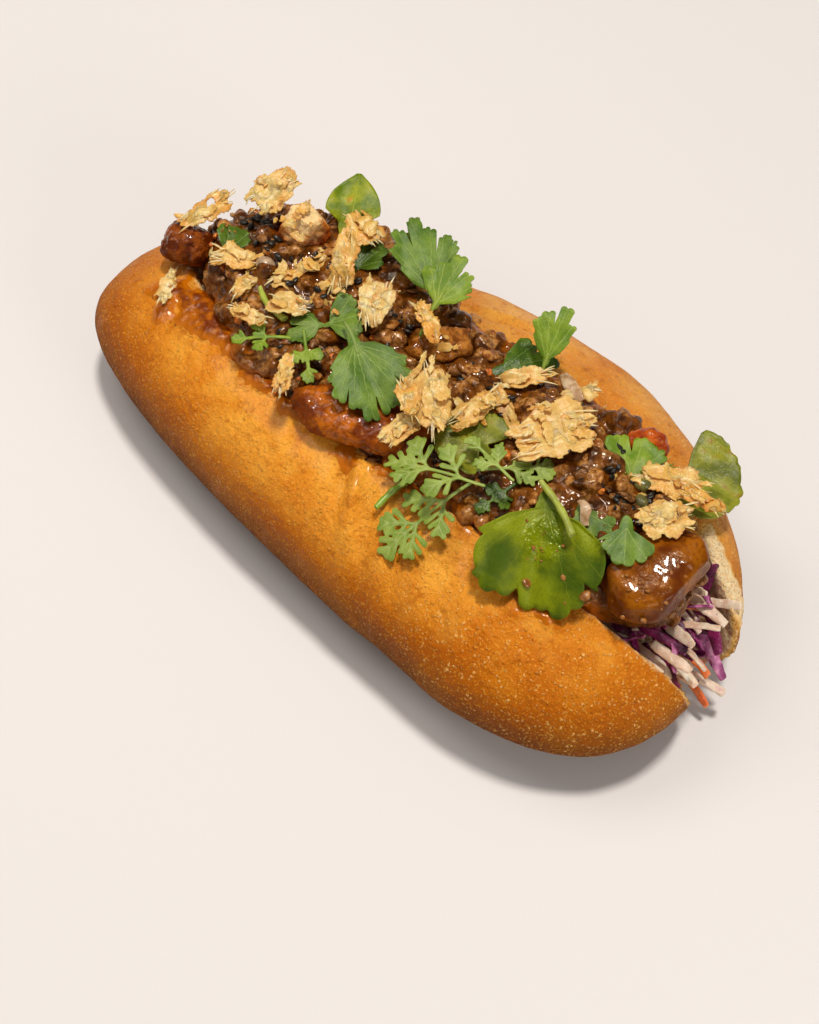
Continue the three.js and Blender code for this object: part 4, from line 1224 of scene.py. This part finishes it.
# veins of a leaf on its UV map: one along each lobe, with side veins slanting outwards
veins, given, out = new_group("Leaf Veins", {}, ("Veins",))
flat = node(veins, "TexCoord").outputs["UV"]
across = node(veins, "SeparateXYZ", {0: swayed(veins, flat, 0.5, 1.0, 1.1)}).outputs
off_rib = maths(veins, "ABSOLUTE", across[0])
thin = maths(veins, "SUBTRACT", 0.34, times(veins, across[1], 0.009))
main = between(veins, maths(veins, "DIVIDE", off_rib, thin), 1.0, 0.3)
slant = maths(veins, "SUBTRACT", across[1], times(veins, off_rib, 1.5))
ripple = maths(veins, "PINGPONG", slant, 1.35)
side_veins = times(veins, between(veins, ripple, 0.17, 0.02), between(veins, off_rib, 4.0, 1.5))
veins.links.new(maths(veins, "MAXIMUM", main, times(veins, side_veins, 0.4)), out["Veins"])

leaf_paints = {}
for kind, feathery in sorted({(leaf["green"], leaf.get("feathery", False)) for leaf in LEAVES}):
    look = GREENS[kind]
    paint, tree, skin, mottled = new_material("coriander_" + kind + ("_frond" if feathery else ""),
                                              patch=12 if kind == "wet" else 6, grain=0.45)
    if feathery:
        line = between(tree, value_at(tree, "rib"), 0.42, 0.10)
    else:
        line = node(tree, "Group", node_tree=veins).outputs["Veins"]
    colour = mixed(tree, between(tree, mottled["Patches"], 0.35, 0.65), look["deep"], look["pale"])
    colour = stained(tree, colour, look["deep"], between(tree, mottled["Grain"], 0.4, 0.7), 0.35)
    colour = stained(tree, colour, look["vein"], line, 0.25 if kind == "wet" else 0.45)
    if kind in ("olive", "spotted"):
        brown = between(tree, mottled["Patches"], 0.60, 0.72)
        colour = stained(tree, colour, (0.30, 0.07, 0.006) if kind == "olive" else (0.60, 0.17, 0.004),
                         brown, 0.5)
    paint_with(tree, skin, Base_Color=colour, Roughness=look["rough"], soft=(0.35, (0.6, 1.0, 0.2), 0.8),
               Specular_IOR_Level=0.3 if kind != "wet" else 0.4,
               Specular_Tint=(1.0, 1.0, 1.0) if kind != "wet" else (0.95, 1.0, 0.45))
    layers = [(mottled["Grain"], 0.10), (line, 0.06), (mottled["Patches"], 0.8)]
    if kind == "wet":
        here = node(tree, "TexCoord").outputs["Object"]
        off = node(tree, "VectorMath", {0: here, 1: Vector(WET_SPOT) * MM}, operation="DISTANCE")
        pool = between(tree, off.outputs["Value"], 0.010, 0.003)
        crinkle = noise_at(tree, 420, 2)
        paint_with(tree, skin, Roughness=maths(tree, "SUBTRACT", look["rough"], times(tree, pool, 0.41)))
        layers.append((times(tree, crinkle, maths(tree, "ADD", 0.2, pool)), 0.8))
    relief(tree, skin, *layers)
    leaf_paints[kind, feathery] = paint

for number, leaf in enumerate(LEAVES):
    name, height = leaf["name"], leaf_bend(leaf, number)
    feathery = leaf.get("feathery", False)
    if feathery:
        blade = frond(leaf, number, height)
    else:
        blade = fan_sheet(name + "_leaf", leaf_rim(leaf, number + 1), LEAF_RINGS, height)
        apply_modifier(blade, "SOLIDIFY", thickness=LEAF_THICK * MM, offset=0)
        if leaf.get("stalk"):
            blade = joined([blade, stalk("stalk", leaf["stalk"], height)], name + "_leaf")
    lay_on(blade, name, leaf["turn"], leaf.get("pitch", 0))
    finish_piece(blade, leaf_paints[leaf["green"], feathery], "leaf", name)

# ---------------------------------------------------------------- coriander stems
# Cut pieces of coriander stem: juicy round tubes, ribbed along their length, with a paler hollow
# heart where the knife went through.

STEMS = [
    {"name": "stem_crust", "turn": 80, "length": 12, "bow": 1, "colour": (0.24, 0.36, 0.030)},
    {"name": "stem_pale", "turn": -19, "length": 15, "bow": -3, "colour": (0.40, 0.46, 0.06)},
    {"name": "stem_large", "turn": -28, "length": 20, "bow": 2, "colour": (0.33, 0.36, 0.05)},
]
STEM_ROUND = 2.1
STEM_HEART = {"wall": 0.35, "rim": 0.15, "deep": 0.5}  # the hollow at a cut end

for stem in STEMS:
    bpy.ops.mesh.primitive_cylinder_add(vertices=20, radius=STEM_ROUND / 2 * MM, depth=stem["length"] * MM,
                                        rotation=(0, math.pi / 2, 0), end_fill_type="NGON")
    tube = bpy.context.object
    bpy.ops.object.transform_apply(location=True, rotation=True)
    with editing(tube, [abs(face.normal.x) > 0.9 for face in tube.data.polygons]):
        bpy.ops.mesh.inset(thickness=STEM_HEART["wall"] * MM)
        bpy.ops.mesh.inset(thickness=STEM_HEART["rim"] * MM, depth=-STEM_HEART["deep"] * MM)
        for cut in np.linspace(-0.45, 0.45, 19):
            bpy.ops.mesh.select_all(action="SELECT")
            bpy.ops.mesh.bisect(plane_co=(cut * stem["length"] * MM, 0, 0), plane_no=(1, 0, 0))
    places = points_of(tube)
    share = places[:, 0] / (stem["length"] / 2 * MM)
    places[:, 1:] *= (1 + 0.10 * np.sin(9 * share) + 0.08 * share)[:, None]
    places[:, 1] += stem["bow"] / 2 * (1 - share ** 2) * MM
    places[:, 2] += 0.5 * np.sin(2.2 * share) * MM
    move_points(tube, places)
    subdivide(tube)
    tube.name = tube.data.name = stem["name"] + "_tube"
    lay_on(tube, stem["name"], stem["turn"])
    pale = tuple(min(1, 1.35 * c) for c in stem["colour"])
    stem_paint = simple_paint(stem["name"] + "_skin", 5, 0.5, (stem["colour"], pale), (0.35, 0.65),
                              (0.08,), Roughness=0.25, soft=(0.5, (0.6, 1.0, 0.2), 1.2))
    finish_piece(tube, stem_paint, "stem", stem["name"])

# ---------------------------------------------------------------- crisp fried flakes
# Thin shavings fried until they puff and turn gold. They are dry, brittle and layered, with torn
# edges, loose straws and small bubbles, brown where they are thinnest; their crests are painted pale as
# painted highlight and their hollows darker as painted shade.

FLAKES = [
    {"name": "flake_crust", "turn": 119, "length": 13, "width": 6, "curl": 0.03, "pale": 0.9},
    {"name": "flake_lip", "turn": 114, "length": 13, "width": 5, "curl": 0.05, "pale": 0.4},
    {"name": "flake_left_curved", "turn": 5, "length": 13, "width": 5, "curl": -0.05, "pale": 0.7},
    {"name": "flake_left_veil", "turn": 86, "length": 12, "width": 6, "curl": 0.04, "pale": 0.7},
    {"name": "flake_left_fold", "turn": 27, "length": 15, "width": 8, "curl": 0.05, "pale": 0.6},
    {"name": "flake_tip", "turn": 70, "length": 18, "width": 9, "curl": -0.03, "pitch": 12, "pale": 0.3,
     "hole": (2.5, 0.5, 1.5)},
    {"name": "flake_tip_back", "turn": 75, "length": 17, "width": 13, "curl": -0.03, "pitch": 14,
     "pale": 1.0},
    {"name": "flake_left_strip", "turn": 69, "length": 20, "width": 5, "curl": -0.02, "pale": 0.4},
    {"name": "flake_crown", "turn": 30, "length": 12, "width": 9, "curl": 0.06, "pale": 0.9},
    {"name": "flake_back", "turn": 159, "length": 13, "width": 12, "curl": -0.03, "pale": 0.4},
    {"name": "flake_tall", "turn": 115, "length": 20, "width": 8, "curl": 0.04, "pitch": 24, "pale": 0.4},
    {"name": "flake_crumpled", "turn": 115, "length": 15, "width": 12, "curl": 0.05, "pale": 0.9},
    {"name": "flake_husk", "turn": -25, "length": 13, "width": 6, "curl": 0.08, "pale": 0.1},
    {"name": "flake_near", "turn": 78, "length": 14, "width": 8, "curl": 0.04, "pale": 0.7},
    {"name": "flake_gold", "turn": 140, "length": 14, "width": 7, "curl": 0.05, "pale": 0.2},
    {"name": "flake_big", "turn": 135, "length": 25, "width": 12, "curl": -0.05, "pitch": 8, "pale": 0.8,
     "crumple": 0.7},
    {"name": "flake_middle", "turn": 69, "length": 18, "width": 8, "curl": -0.04, "pale": 0.5},
    {"name": "flake_hanging", "turn": -33, "length": 20, "width": 5, "curl": -0.03, "pale": 0.4},
    {"name": "flake_ridge", "turn": 40, "length": 18, "width": 7, "curl": 0.04, "pitch": 10, "pale": 0.7},
    {"name": "flake_curl", "turn": 56, "length": 12, "width": 5, "curl": -0.08, "pale": 0.7},
    {"name": "flake_broad", "turn": 60, "length": 25, "width": 20, "curl": 0.012, "pitch": -6,
     "pale": 0.9, "crumple": 0.7},
    {"name": "flake_open", "turn": 38, "length": 15, "width": 13, "curl": -0.03, "pale": 0.5,
     "hole": (2.5, 0.5, 1.6)},
    {"name": "flake_open_back", "turn": 17, "length": 20, "width": 10, "curl": 0.03, "pitch": -8,
     "pale": 0.4},
    {"name": "flake_strip", "turn": 0, "length": 13, "width": 5, "curl": -0.05, "pale": 0.1},
]
FIRST_FLAKE_SEED = 40
FLAKE_CORNERS = 11
FLAKE_STEP = 0.34  # spacing of the grid that a flake is cut from
FLAKE_BEND = {"droop": 0.4, "wave": 0.4}
FLAKE_THICK = 0.7
SMALL_THICK = 0.5  # of the smaller layers on a flake
SHARD_THICK = 0.45
STRAW_THICK = 0.3
SHARDS = 4  # loose splinters at the ends of a flake
STRAWS = 9
CRUMPLE = 1.2
BLOCKY = 3.4  # how square the shards are; 2 would make them oval


def flake_edge(flake, seed, scale=1.0):
    """How far a place lies inside a flake's torn edge: a long oval with broken corners, torn along
    its fibres into shards and nicked all round."""
    draw = dice(seed)
    turns, reaches = [], []
    for corner in range(FLAKE_CORNERS):
        angle = (corner + 0.5 * next(draw)) * 2 * math.pi / FLAKE_CORNERS
        across = abs(2 * math.sin(angle) / flake["width"])
        along = abs(2 * math.cos(angle) / flake["length"])
        oval = (across ** BLOCKY + along ** BLOCKY) ** (1 / BLOCKY)
        turns.append(angle)
        reaches.append((0.76 + 0.32 * next(draw)) / oval * scale)
    hole = flake.get("hole") if scale == 1 else None

    def amount(u, v):
        far = np.hypot(u, v)
        angle = np.mod(np.arctan2(v, u), 2 * math.pi)
        edge = np.interp(angle, turns, reaches, period=2 * math.pi)
        torn = 0.18 * edge * np.clip(1.6 * cloud(u / 10, v / 2.2, seed), -0.6, 0.8)
        nicks = 0.35 - np.abs(cloud(u / 1.3, v / 0.9, seed + 1)) + 0.2 * cloud(u / 0.5, v / 0.5, seed)
        jagged = np.abs(np.mod(1.6 * cloud(u / 4.5, v / 2.4, seed + 2), 1) - 0.5)
        nicks = nicks + 1.1 * jagged - 0.4
        inside_by = edge - far + torn * smooth_step(0.2, 0.9, np.abs(np.cos(angle))) + nicks
        if hole:
            inside_by = np.minimum(inside_by, np.hypot(u - hole[0], v - hole[1]) - hole[2] + nicks)
        return inside_by
    return amount


def flake_bend(flake, number):
    """Height of the flake's sheet: curled across, waved along, creased and ribbed by its fibres."""
    def height(u, v):
        bent = flake["curl"] * (v * v - FLAKE_BEND["droop"] * u * u)
        return bent + FLAKE_BEND["wave"] * np.sin(0.9 * u + number) + creases(u, v)

    def creases(u, v):
        fold = 0.5 - np.abs(cloud(u / 7.5, v / 4.4, 7 * number))
        small = 0.5 - np.abs(cloud(u / 3.2, v / 1.6, 5 * number))
        fibre = cloud(u / 5, v / 0.6, 3 * number)
        pits = np.abs(cloud(u / 0.8, v / 0.8, number))
        return flake.get("crumple", CRUMPLE) * fold + 0.24 * small + 0.10 * fibre - 0.20 * pits
    return height, creases


def flake_sheet(flake, number, seed, scale, thick):
    """One layer of a flake, with how high its creases rise kept for the material."""
    height, creases = flake_bend(flake, number)
    reach = np.array((flake["length"], flake["width"])) * 0.72 * scale + 1
    layer = cut_sheet("layer", -reach, reach, FLAKE_STEP, flake_edge(flake, seed, scale), height)
    bare = points_of(layer) / MM
    keep_values(layer, "crest", creases(bare[:, 0], bare[:, 1]))
    weigh(layer, "thick", 0.3 + 0.7 * smooth_step(0, 1.6, values_of(layer, "from_edge")))
    apply_modifier(layer, "SOLIDIFY", thickness=thick * MM, offset=0, vertex_group="thick",
                   thickness_vertex_group=0.3)
    return layer


crisp, given, out = new_group("Crisp Fibres", {"Turn": 0.0}, ("Fibres", "Bubbles"))
where = node(crisp, "TexCoord").outputs["Object"]
turned = node(crisp, "VectorRotate", {"Vector": where, "Angle": given["Turn"]}, rotation_type="Z_AXIS")
drawn = node(crisp, "Mapping", {"Vector": turned.outputs[0], "Scale": (190, 1700, 900)}).outputs[0]
threads = node(crisp, "TexNoise", {"Vector": drawn, "Scale": 1.0, "Detail": 3.0})
crisp.links.new(threads.outputs["Fac"], out["Fibres"])
blown = node(crisp, "TexVoronoi", {"Vector": where, "Scale": 1050.0}, feature="SMOOTH_F1")
crisp.links.new(maths(crisp, "SUBTRACT", 1.0, blown.outputs["Distance"], clamp=True), out["Bubbles"])

for number, flake in enumerate(FLAKES):
    name, seed = flake["name"], FIRST_FLAKE_SEED + number
    chance = random.Random(seed)
    height, _ = flake_bend(flake, number)
    layers = [flake_sheet(flake, number, seed, 1.0, FLAKE_THICK)]
    for extra in range(1 + number % 2):
        small = flake_sheet(flake, number + 30 * (extra + 1), seed + 100 * (extra + 1),
                            chance.uniform(0.46, 0.64), SMALL_THICK)
        shift = Vector((chance.uniform(-0.2, 0.2) * flake["length"],
                        chance.uniform(-0.18, 0.18) * flake["width"], 0.7 - 0.2 * extra)) * MM
        lean = Matrix.Rotation(chance.uniform(-0.25, 0.25), 4, "X") @ Matrix.Rotation(
            chance.uniform(-0.15, 0.15), 4, "Y") @ Matrix.Rotation(chance.uniform(-0.5, 0.5), 4, "Z")
        small.data.transform(Matrix.Translation(shift) @ lean)
        layers.append(small)
    for shard in range(SHARDS):
        end = chance.choice((-1, 1))
        slim = {"length": chance.uniform(0.30, 0.45) * flake["length"], "width": chance.uniform(1.4, 2.6),
                "curl": chance.uniform(-0.1, 0.1)}
        splinter = flake_sheet(slim, number + 7 * shard, seed + 11 * (shard + 1), 1.0, SHARD_THICK)
        u = end * chance.uniform(0.28, 0.42) * flake["length"]
        v = chance.uniform(-0.36, 0.36) * flake["width"]
        lean = Matrix.Rotation(chance.uniform(-0.6, 0.6), 4, "Z") @ Matrix.Rotation(
            end * chance.uniform(-0.3, 0.1), 4, "Y") @ Matrix.Rotation(chance.uniform(-0.6, 0.6), 4, "X")
        splinter.data.transform(Matrix.Translation(Vector((u, v, float(height(u, v)) + 0.3)) * MM) @ lean)
        layers.append(splinter)
    points, faces = [], []
    for _ in range(STRAWS):
        end = chance.choice((-1, 1))
        u = end * chance.uniform(0.18, 0.34) * flake["length"]
        v = chance.uniform(-0.3, 0.3) * flake["width"]
        lean = chance.uniform(-0.45, 0.45)
        reach = end * chance.uniform(0.18, 0.38) * flake["length"]
        path = [Vector((u + reach * t, v + reach * t * lean, float(height(u, v)) + 0.5 * math.sin(3 * t)))
                * MM for t in np.linspace(0, 1, 6)]
        strip(points, faces, path, chance.uniform(0.3, 0.7) * MM, STRAW_THICK * MM, sides=6, taper=0.35)
    straws = mesh_piece("straws", points, faces)
    keep_values(straws, "from_edge", [1.2] * len(points))
    keep_values(straws, "crest", [0.7] * len(points))
    shaving = joined(layers + [straws], name + "_crisp")
    lay_on(shaving, name, flake["turn"], flake.get("pitch", 0))
    flake_paint, tree, skin, mottled = new_material(name + "_gold", patch=5, grain=0.5, dot=1.3)
    fibres = node(tree, "Group", node_tree=crisp)
    fibres.inputs["Turn"].default_value = -math.radians(flake["turn"])
    pale = flake["pale"]
    crest_highlight_gold = (0.99, 0.66 + 0.09 * pale, 0.20 + 0.16 * pale)
    hollow_shade_gold = (0.84, 0.37 + 0.14 * pale, 0.05 + 0.10 * pale)
    # crest height sets painted light: crests take the pale gold as painted highlight, hollows the warm gold
    # as painted shade
    crest = maths(tree, "ADD", value_at(tree, "crest"), times(tree, mottled["Patches"], 0.8))
    colour = mixed(tree, between(tree, crest, 0.2, 1.5), hollow_shade_gold, crest_highlight_gold)
    # painted shade in the deepest hollows
    colour = stained(tree, colour, (0.60, 0.26, 0.045), between(tree, crest, 0.15, -0.5), 0.7)
    colour = stained(tree, colour, (0.72, 0.36, 0.08),
                     between(tree, fibres.outputs["Fibres"], 0.50, 0.72), 0.35)
    colour = stained(tree, colour, (0.66, 0.32, 0.065),
                     between(tree, fibres.outputs["Bubbles"], 0.62, 0.40), 0.25)
    # painted highlight on the highest crests
    colour = stained(tree, colour, (1.0, 0.90, 0.66), between(tree, crest, 0.8, 1.5),
                     between(tree, mottled["Grain"], 0.4, 0.6), 0.85)
    edge_at = value_at(tree, "from_edge")
    singed = times(tree, between(tree, edge_at, 1.2, 0.0),
                   between(tree, mottled["Patches"], 0.40 + 0.08 * pale, 0.58 + 0.08 * pale))
    colour = stained(tree, colour, (0.60, 0.20, 0.020), singed, 0.75)
    paint_with(tree, skin, Base_Color=colour, Roughness=0.28, soft=(0.5, (1.0, 0.7, 0.4), 1.8),
               Specular_IOR_Level=0.45)
    relief(tree, skin, (fibres.outputs["Fibres"], 0.12), (fibres.outputs["Bubbles"], 0.18),
           (mottled["Grain"], 0.16))
    finish_piece(shaving, flake_paint, "fried_flake", name)

# ---------------------------------------------------------------- black sesame
# Black sesame seeds, flat and pointed at one end, stuck in clusters where the sauce held them.

SEED_CLUSTERS = [  # middle, reach and how many
    ((-78, 17), 5, 16), ((-71, 15), 4, 8), ((-43, 12), 7, 7), ((3, 18), 3, 3), ((6, 14), 3, 4),
    ((-24, 14), 6, 5), ((57, 20), 6, 9), ((58, 11), 6, 9), ((68, 9), 6, 12), ((73, 4), 6, 10),
    ((-60, 12), 8, 7), ((20, 16), 8, 6), ((66, 28), 5, 5), ((-10, 14), 10, 6), ((0, 0), 90, 30),
]
SEED_SIZE = (2.6, 3.3)

chance = random.Random(5)
spots = []
for (x, y), reach, count in SEED_CLUSTERS:
    spots += spots_on(relish_tree, count, SEED_SIZE, chance, -0.25, (x - reach, x + reach),
                      (y - min(reach, 25), y + min(reach, 25)), pieces_tree, 0.3)
sesame = lumps("black_sesame", spots, (1.0, 0.66, 0.45), 0, chance)
subdivide(sesame)
sesame_paint, tree, skin, mottled = new_material("sesame_husk", patch=2, grain=0.4)
colour = mixed(tree, mottled["Grain"], (0.004, 0.004, 0.004), (0.022, 0.019, 0.015))
paint_with(tree, skin, Base_Color=colour, Roughness=0.30, Specular_Tint=(1.0, 0.9, 0.75))
relief(tree, skin, (mottled["Grain"], 0.10))
finish_piece(sesame, sesame_paint, "relish")

# ---------------------------------------------------------------- scraps, beans and drops
# What scatters over a dressed sandwich: splinters and crumbs of the fried flakes, a few beans and
# onion strips, and beads of sauce and dressing that stand on the wet leaf and on the meat.

SCRAP_SPOTS = [  # middle, reach and how many splinters of fried flake
    ((-74, 22), 9, 10), ((-60, 18), 9, 10), ((-52, 8), 10, 10), ((-38, 10), 8, 8), ((-28, 16), 8, 5),
    ((-10, 18), 8, 6), ((8, 8), 9, 10), ((22, 8), 9, 8), ((34, 14), 8, 7), ((46, 20), 7, 6),
    ((64, 18), 8, 5), ((82, 18), 8, 6), ((-84, 6), 6, 4),
]
SCRAP_SIZE = (2.2, 6.5)
BEANS = [  # place, length, width, turn and colour
    {"at": (-66, 7, 60.5), "long": 6.4, "wide": 5.4, "turn": 10, "colour": (0.62, 0.42, 0.25)},
    {"at": (69, 16, 56), "long": 5.2, "wide": 3.9, "turn": 30, "colour": (0.20, 0.19, 0.045)},
    {"at": (72, 11, 56), "long": 5.0, "wide": 3.8, "turn": -20, "colour": (0.17, 0.15, 0.040)},
]
STRIPS = [  # onion: start, end, bow, width and thickness
    ((27, 36, 50), (37, 30, 52), 2, 4.2, 0.9), ((40, 22, 55), (46, 15, 55), 1, 3.2, 0.8),
    ((-18, 4, 57), (-9, 8, 57), 1, 3.0, 0.8), ((58, 0, 57), (64, -5, 56), 1, 3.4, 0.8),
]
SAUCE_DROPS = [  # on the leaf and on the meat: along X, along Y and size
    (60, -29, 2.8), (68, -22, 2.2), (76, -23, 3.4), (63, -16, 1.2), (56, -21, 1.0), (72, -27, 1.2),
    (86, -17, 1.6), (90, -14, 1.8), (93, -19, 2.0), (83, -14, 1.1), (88, -22, 1.3), (96, -13, 1.2),
]
DROP_FIELDS = [((58, -20), 9, 34), ((-88, 12), 6, 12), ((-70, -12), 12, 22), ((90, -12), 9, 16)]

top_tree = tree_of(*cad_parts)
chance = random.Random(77)
splinters = []
for (x, y), reach, count in SCRAP_SPOTS:
    for _ in range(count):
        at_x, at_y = x + chance.uniform(-reach, reach), y + chance.uniform(-0.7, 0.7) * reach
        place, outwards = top_at(top_tree, at_x, at_y)
        size = SCRAP_SIZE[0] + (SCRAP_SIZE[1] - SCRAP_SIZE[0]) * chance.random() ** 2
        slim = {"length": size, "width": chance.uniform(0.3, 0.6) * size + 0.6,
                "curl": chance.uniform(-0.15, 0.15)}
        splinter = flake_sheet(slim, chance.randrange(60), chance.randrange(900), 1.0, SHARD_THICK)
        facing = outwards.lerp(Vector((0, 0, 1)), 0.5).to_track_quat("Z", "Y").to_matrix().to_4x4()
        spin = Matrix.Rotation(chance.uniform(0, 6.28), 4, "Z") @ Matrix.Rotation(
            chance.uniform(-0.5, 0.5), 4, "X")
        splinter.data.transform(Matrix.Translation(place + outwards * 0.6 * MM) @ facing @ spin)
        splinters.append(splinter)
scraps = joined(splinters, "flake_scraps")
finish_piece(scraps, bpy.data.materials["flake_middle_gold"], "fried_flake")

for number, bean in enumerate(BEANS):
    bpy.ops.mesh.primitive_uv_sphere_add(segments=24, ring_count=16, radius=0.5)
    pod = bpy.context.object
    pod.name = pod.data.name = "bean_" + str(number + 1)
    places = points_of(pod)
    places[:, 1] -= 0.18 * (0.25 - places[:, 0] ** 2)
    places *= np.array((bean["long"], bean["wide"], bean["wide"] * 0.85)) * MM
    move_points(pod, places)
    roughen(pod, 3.0, 0.35)
    pod.data.transform(Matrix.Translation(Vector(bean["at"]) * MM) @ Matrix.Rotation(
        math.radians(bean["turn"]), 4, "Z"))
    dark = tuple(0.55 * c for c in bean["colour"])
    bean_paint = simple_paint(pod.name + "_skin", 2.5, 0.4, (dark, bean["colour"]), (0.35, 0.65),
                              (0.06, 0.25), Roughness=0.18, soft=(0.2, (1.0, 0.6, 0.3), 1.2))
    finish_piece(pod, bean_paint, "relish")

points, faces = [], []
for begin, end, bow, wide, thick in STRIPS:
    strip(points, faces, bowed(begin, end, bow, chance, 10, 0.6), wide * MM, thick * MM, twist=0.6)
onions = mesh_piece("onion_strips", points, faces)
subdivide(onions)
roughen(onions, 2.0, 0.6)
onion_paint = simple_paint("soft_onion", 3, 0.5, ((0.44, 0.24, 0.10), (0.72, 0.52, 0.32)), (0.38, 0.62),
                           (0.15,), Roughness=0.16, soft=(0.4, (1.0, 0.6, 0.3), 1.2))
finish_piece(onions, onion_paint, "relish")

beads = []
fields = list(SAUCE_DROPS)
for (x, y), reach, count in DROP_FIELDS:
    fields += [(x + chance.gauss(0, 0.5) * reach, y + chance.gauss(0, 0.4) * reach,
                chance.uniform(0.35, 1.0)) for _ in range(count)]
for x, y, size in fields:
    place, outwards = top_at(top_tree, x, y)
    beads.append((place + outwards * 0.18 * size * MM, size * MM))
drops = lumps("sauce_drops", beads, (1.15, 1.0, 0.5), 0, chance)
subdivide(drops)
drop_paint = simple_paint("sauce_bead", 2, 0.5, ((0.20, 0.065, 0.008), (0.40, 0.16, 0.030)), (0.4, 0.6),
                          (0.10,), Roughness=0.07, soft=(0.3, (1.0, 0.5, 0.2), 1.0))
finish_piece(drops, drop_paint, "relish")

# ---------------------------------------------------------------- size

lowest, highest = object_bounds()
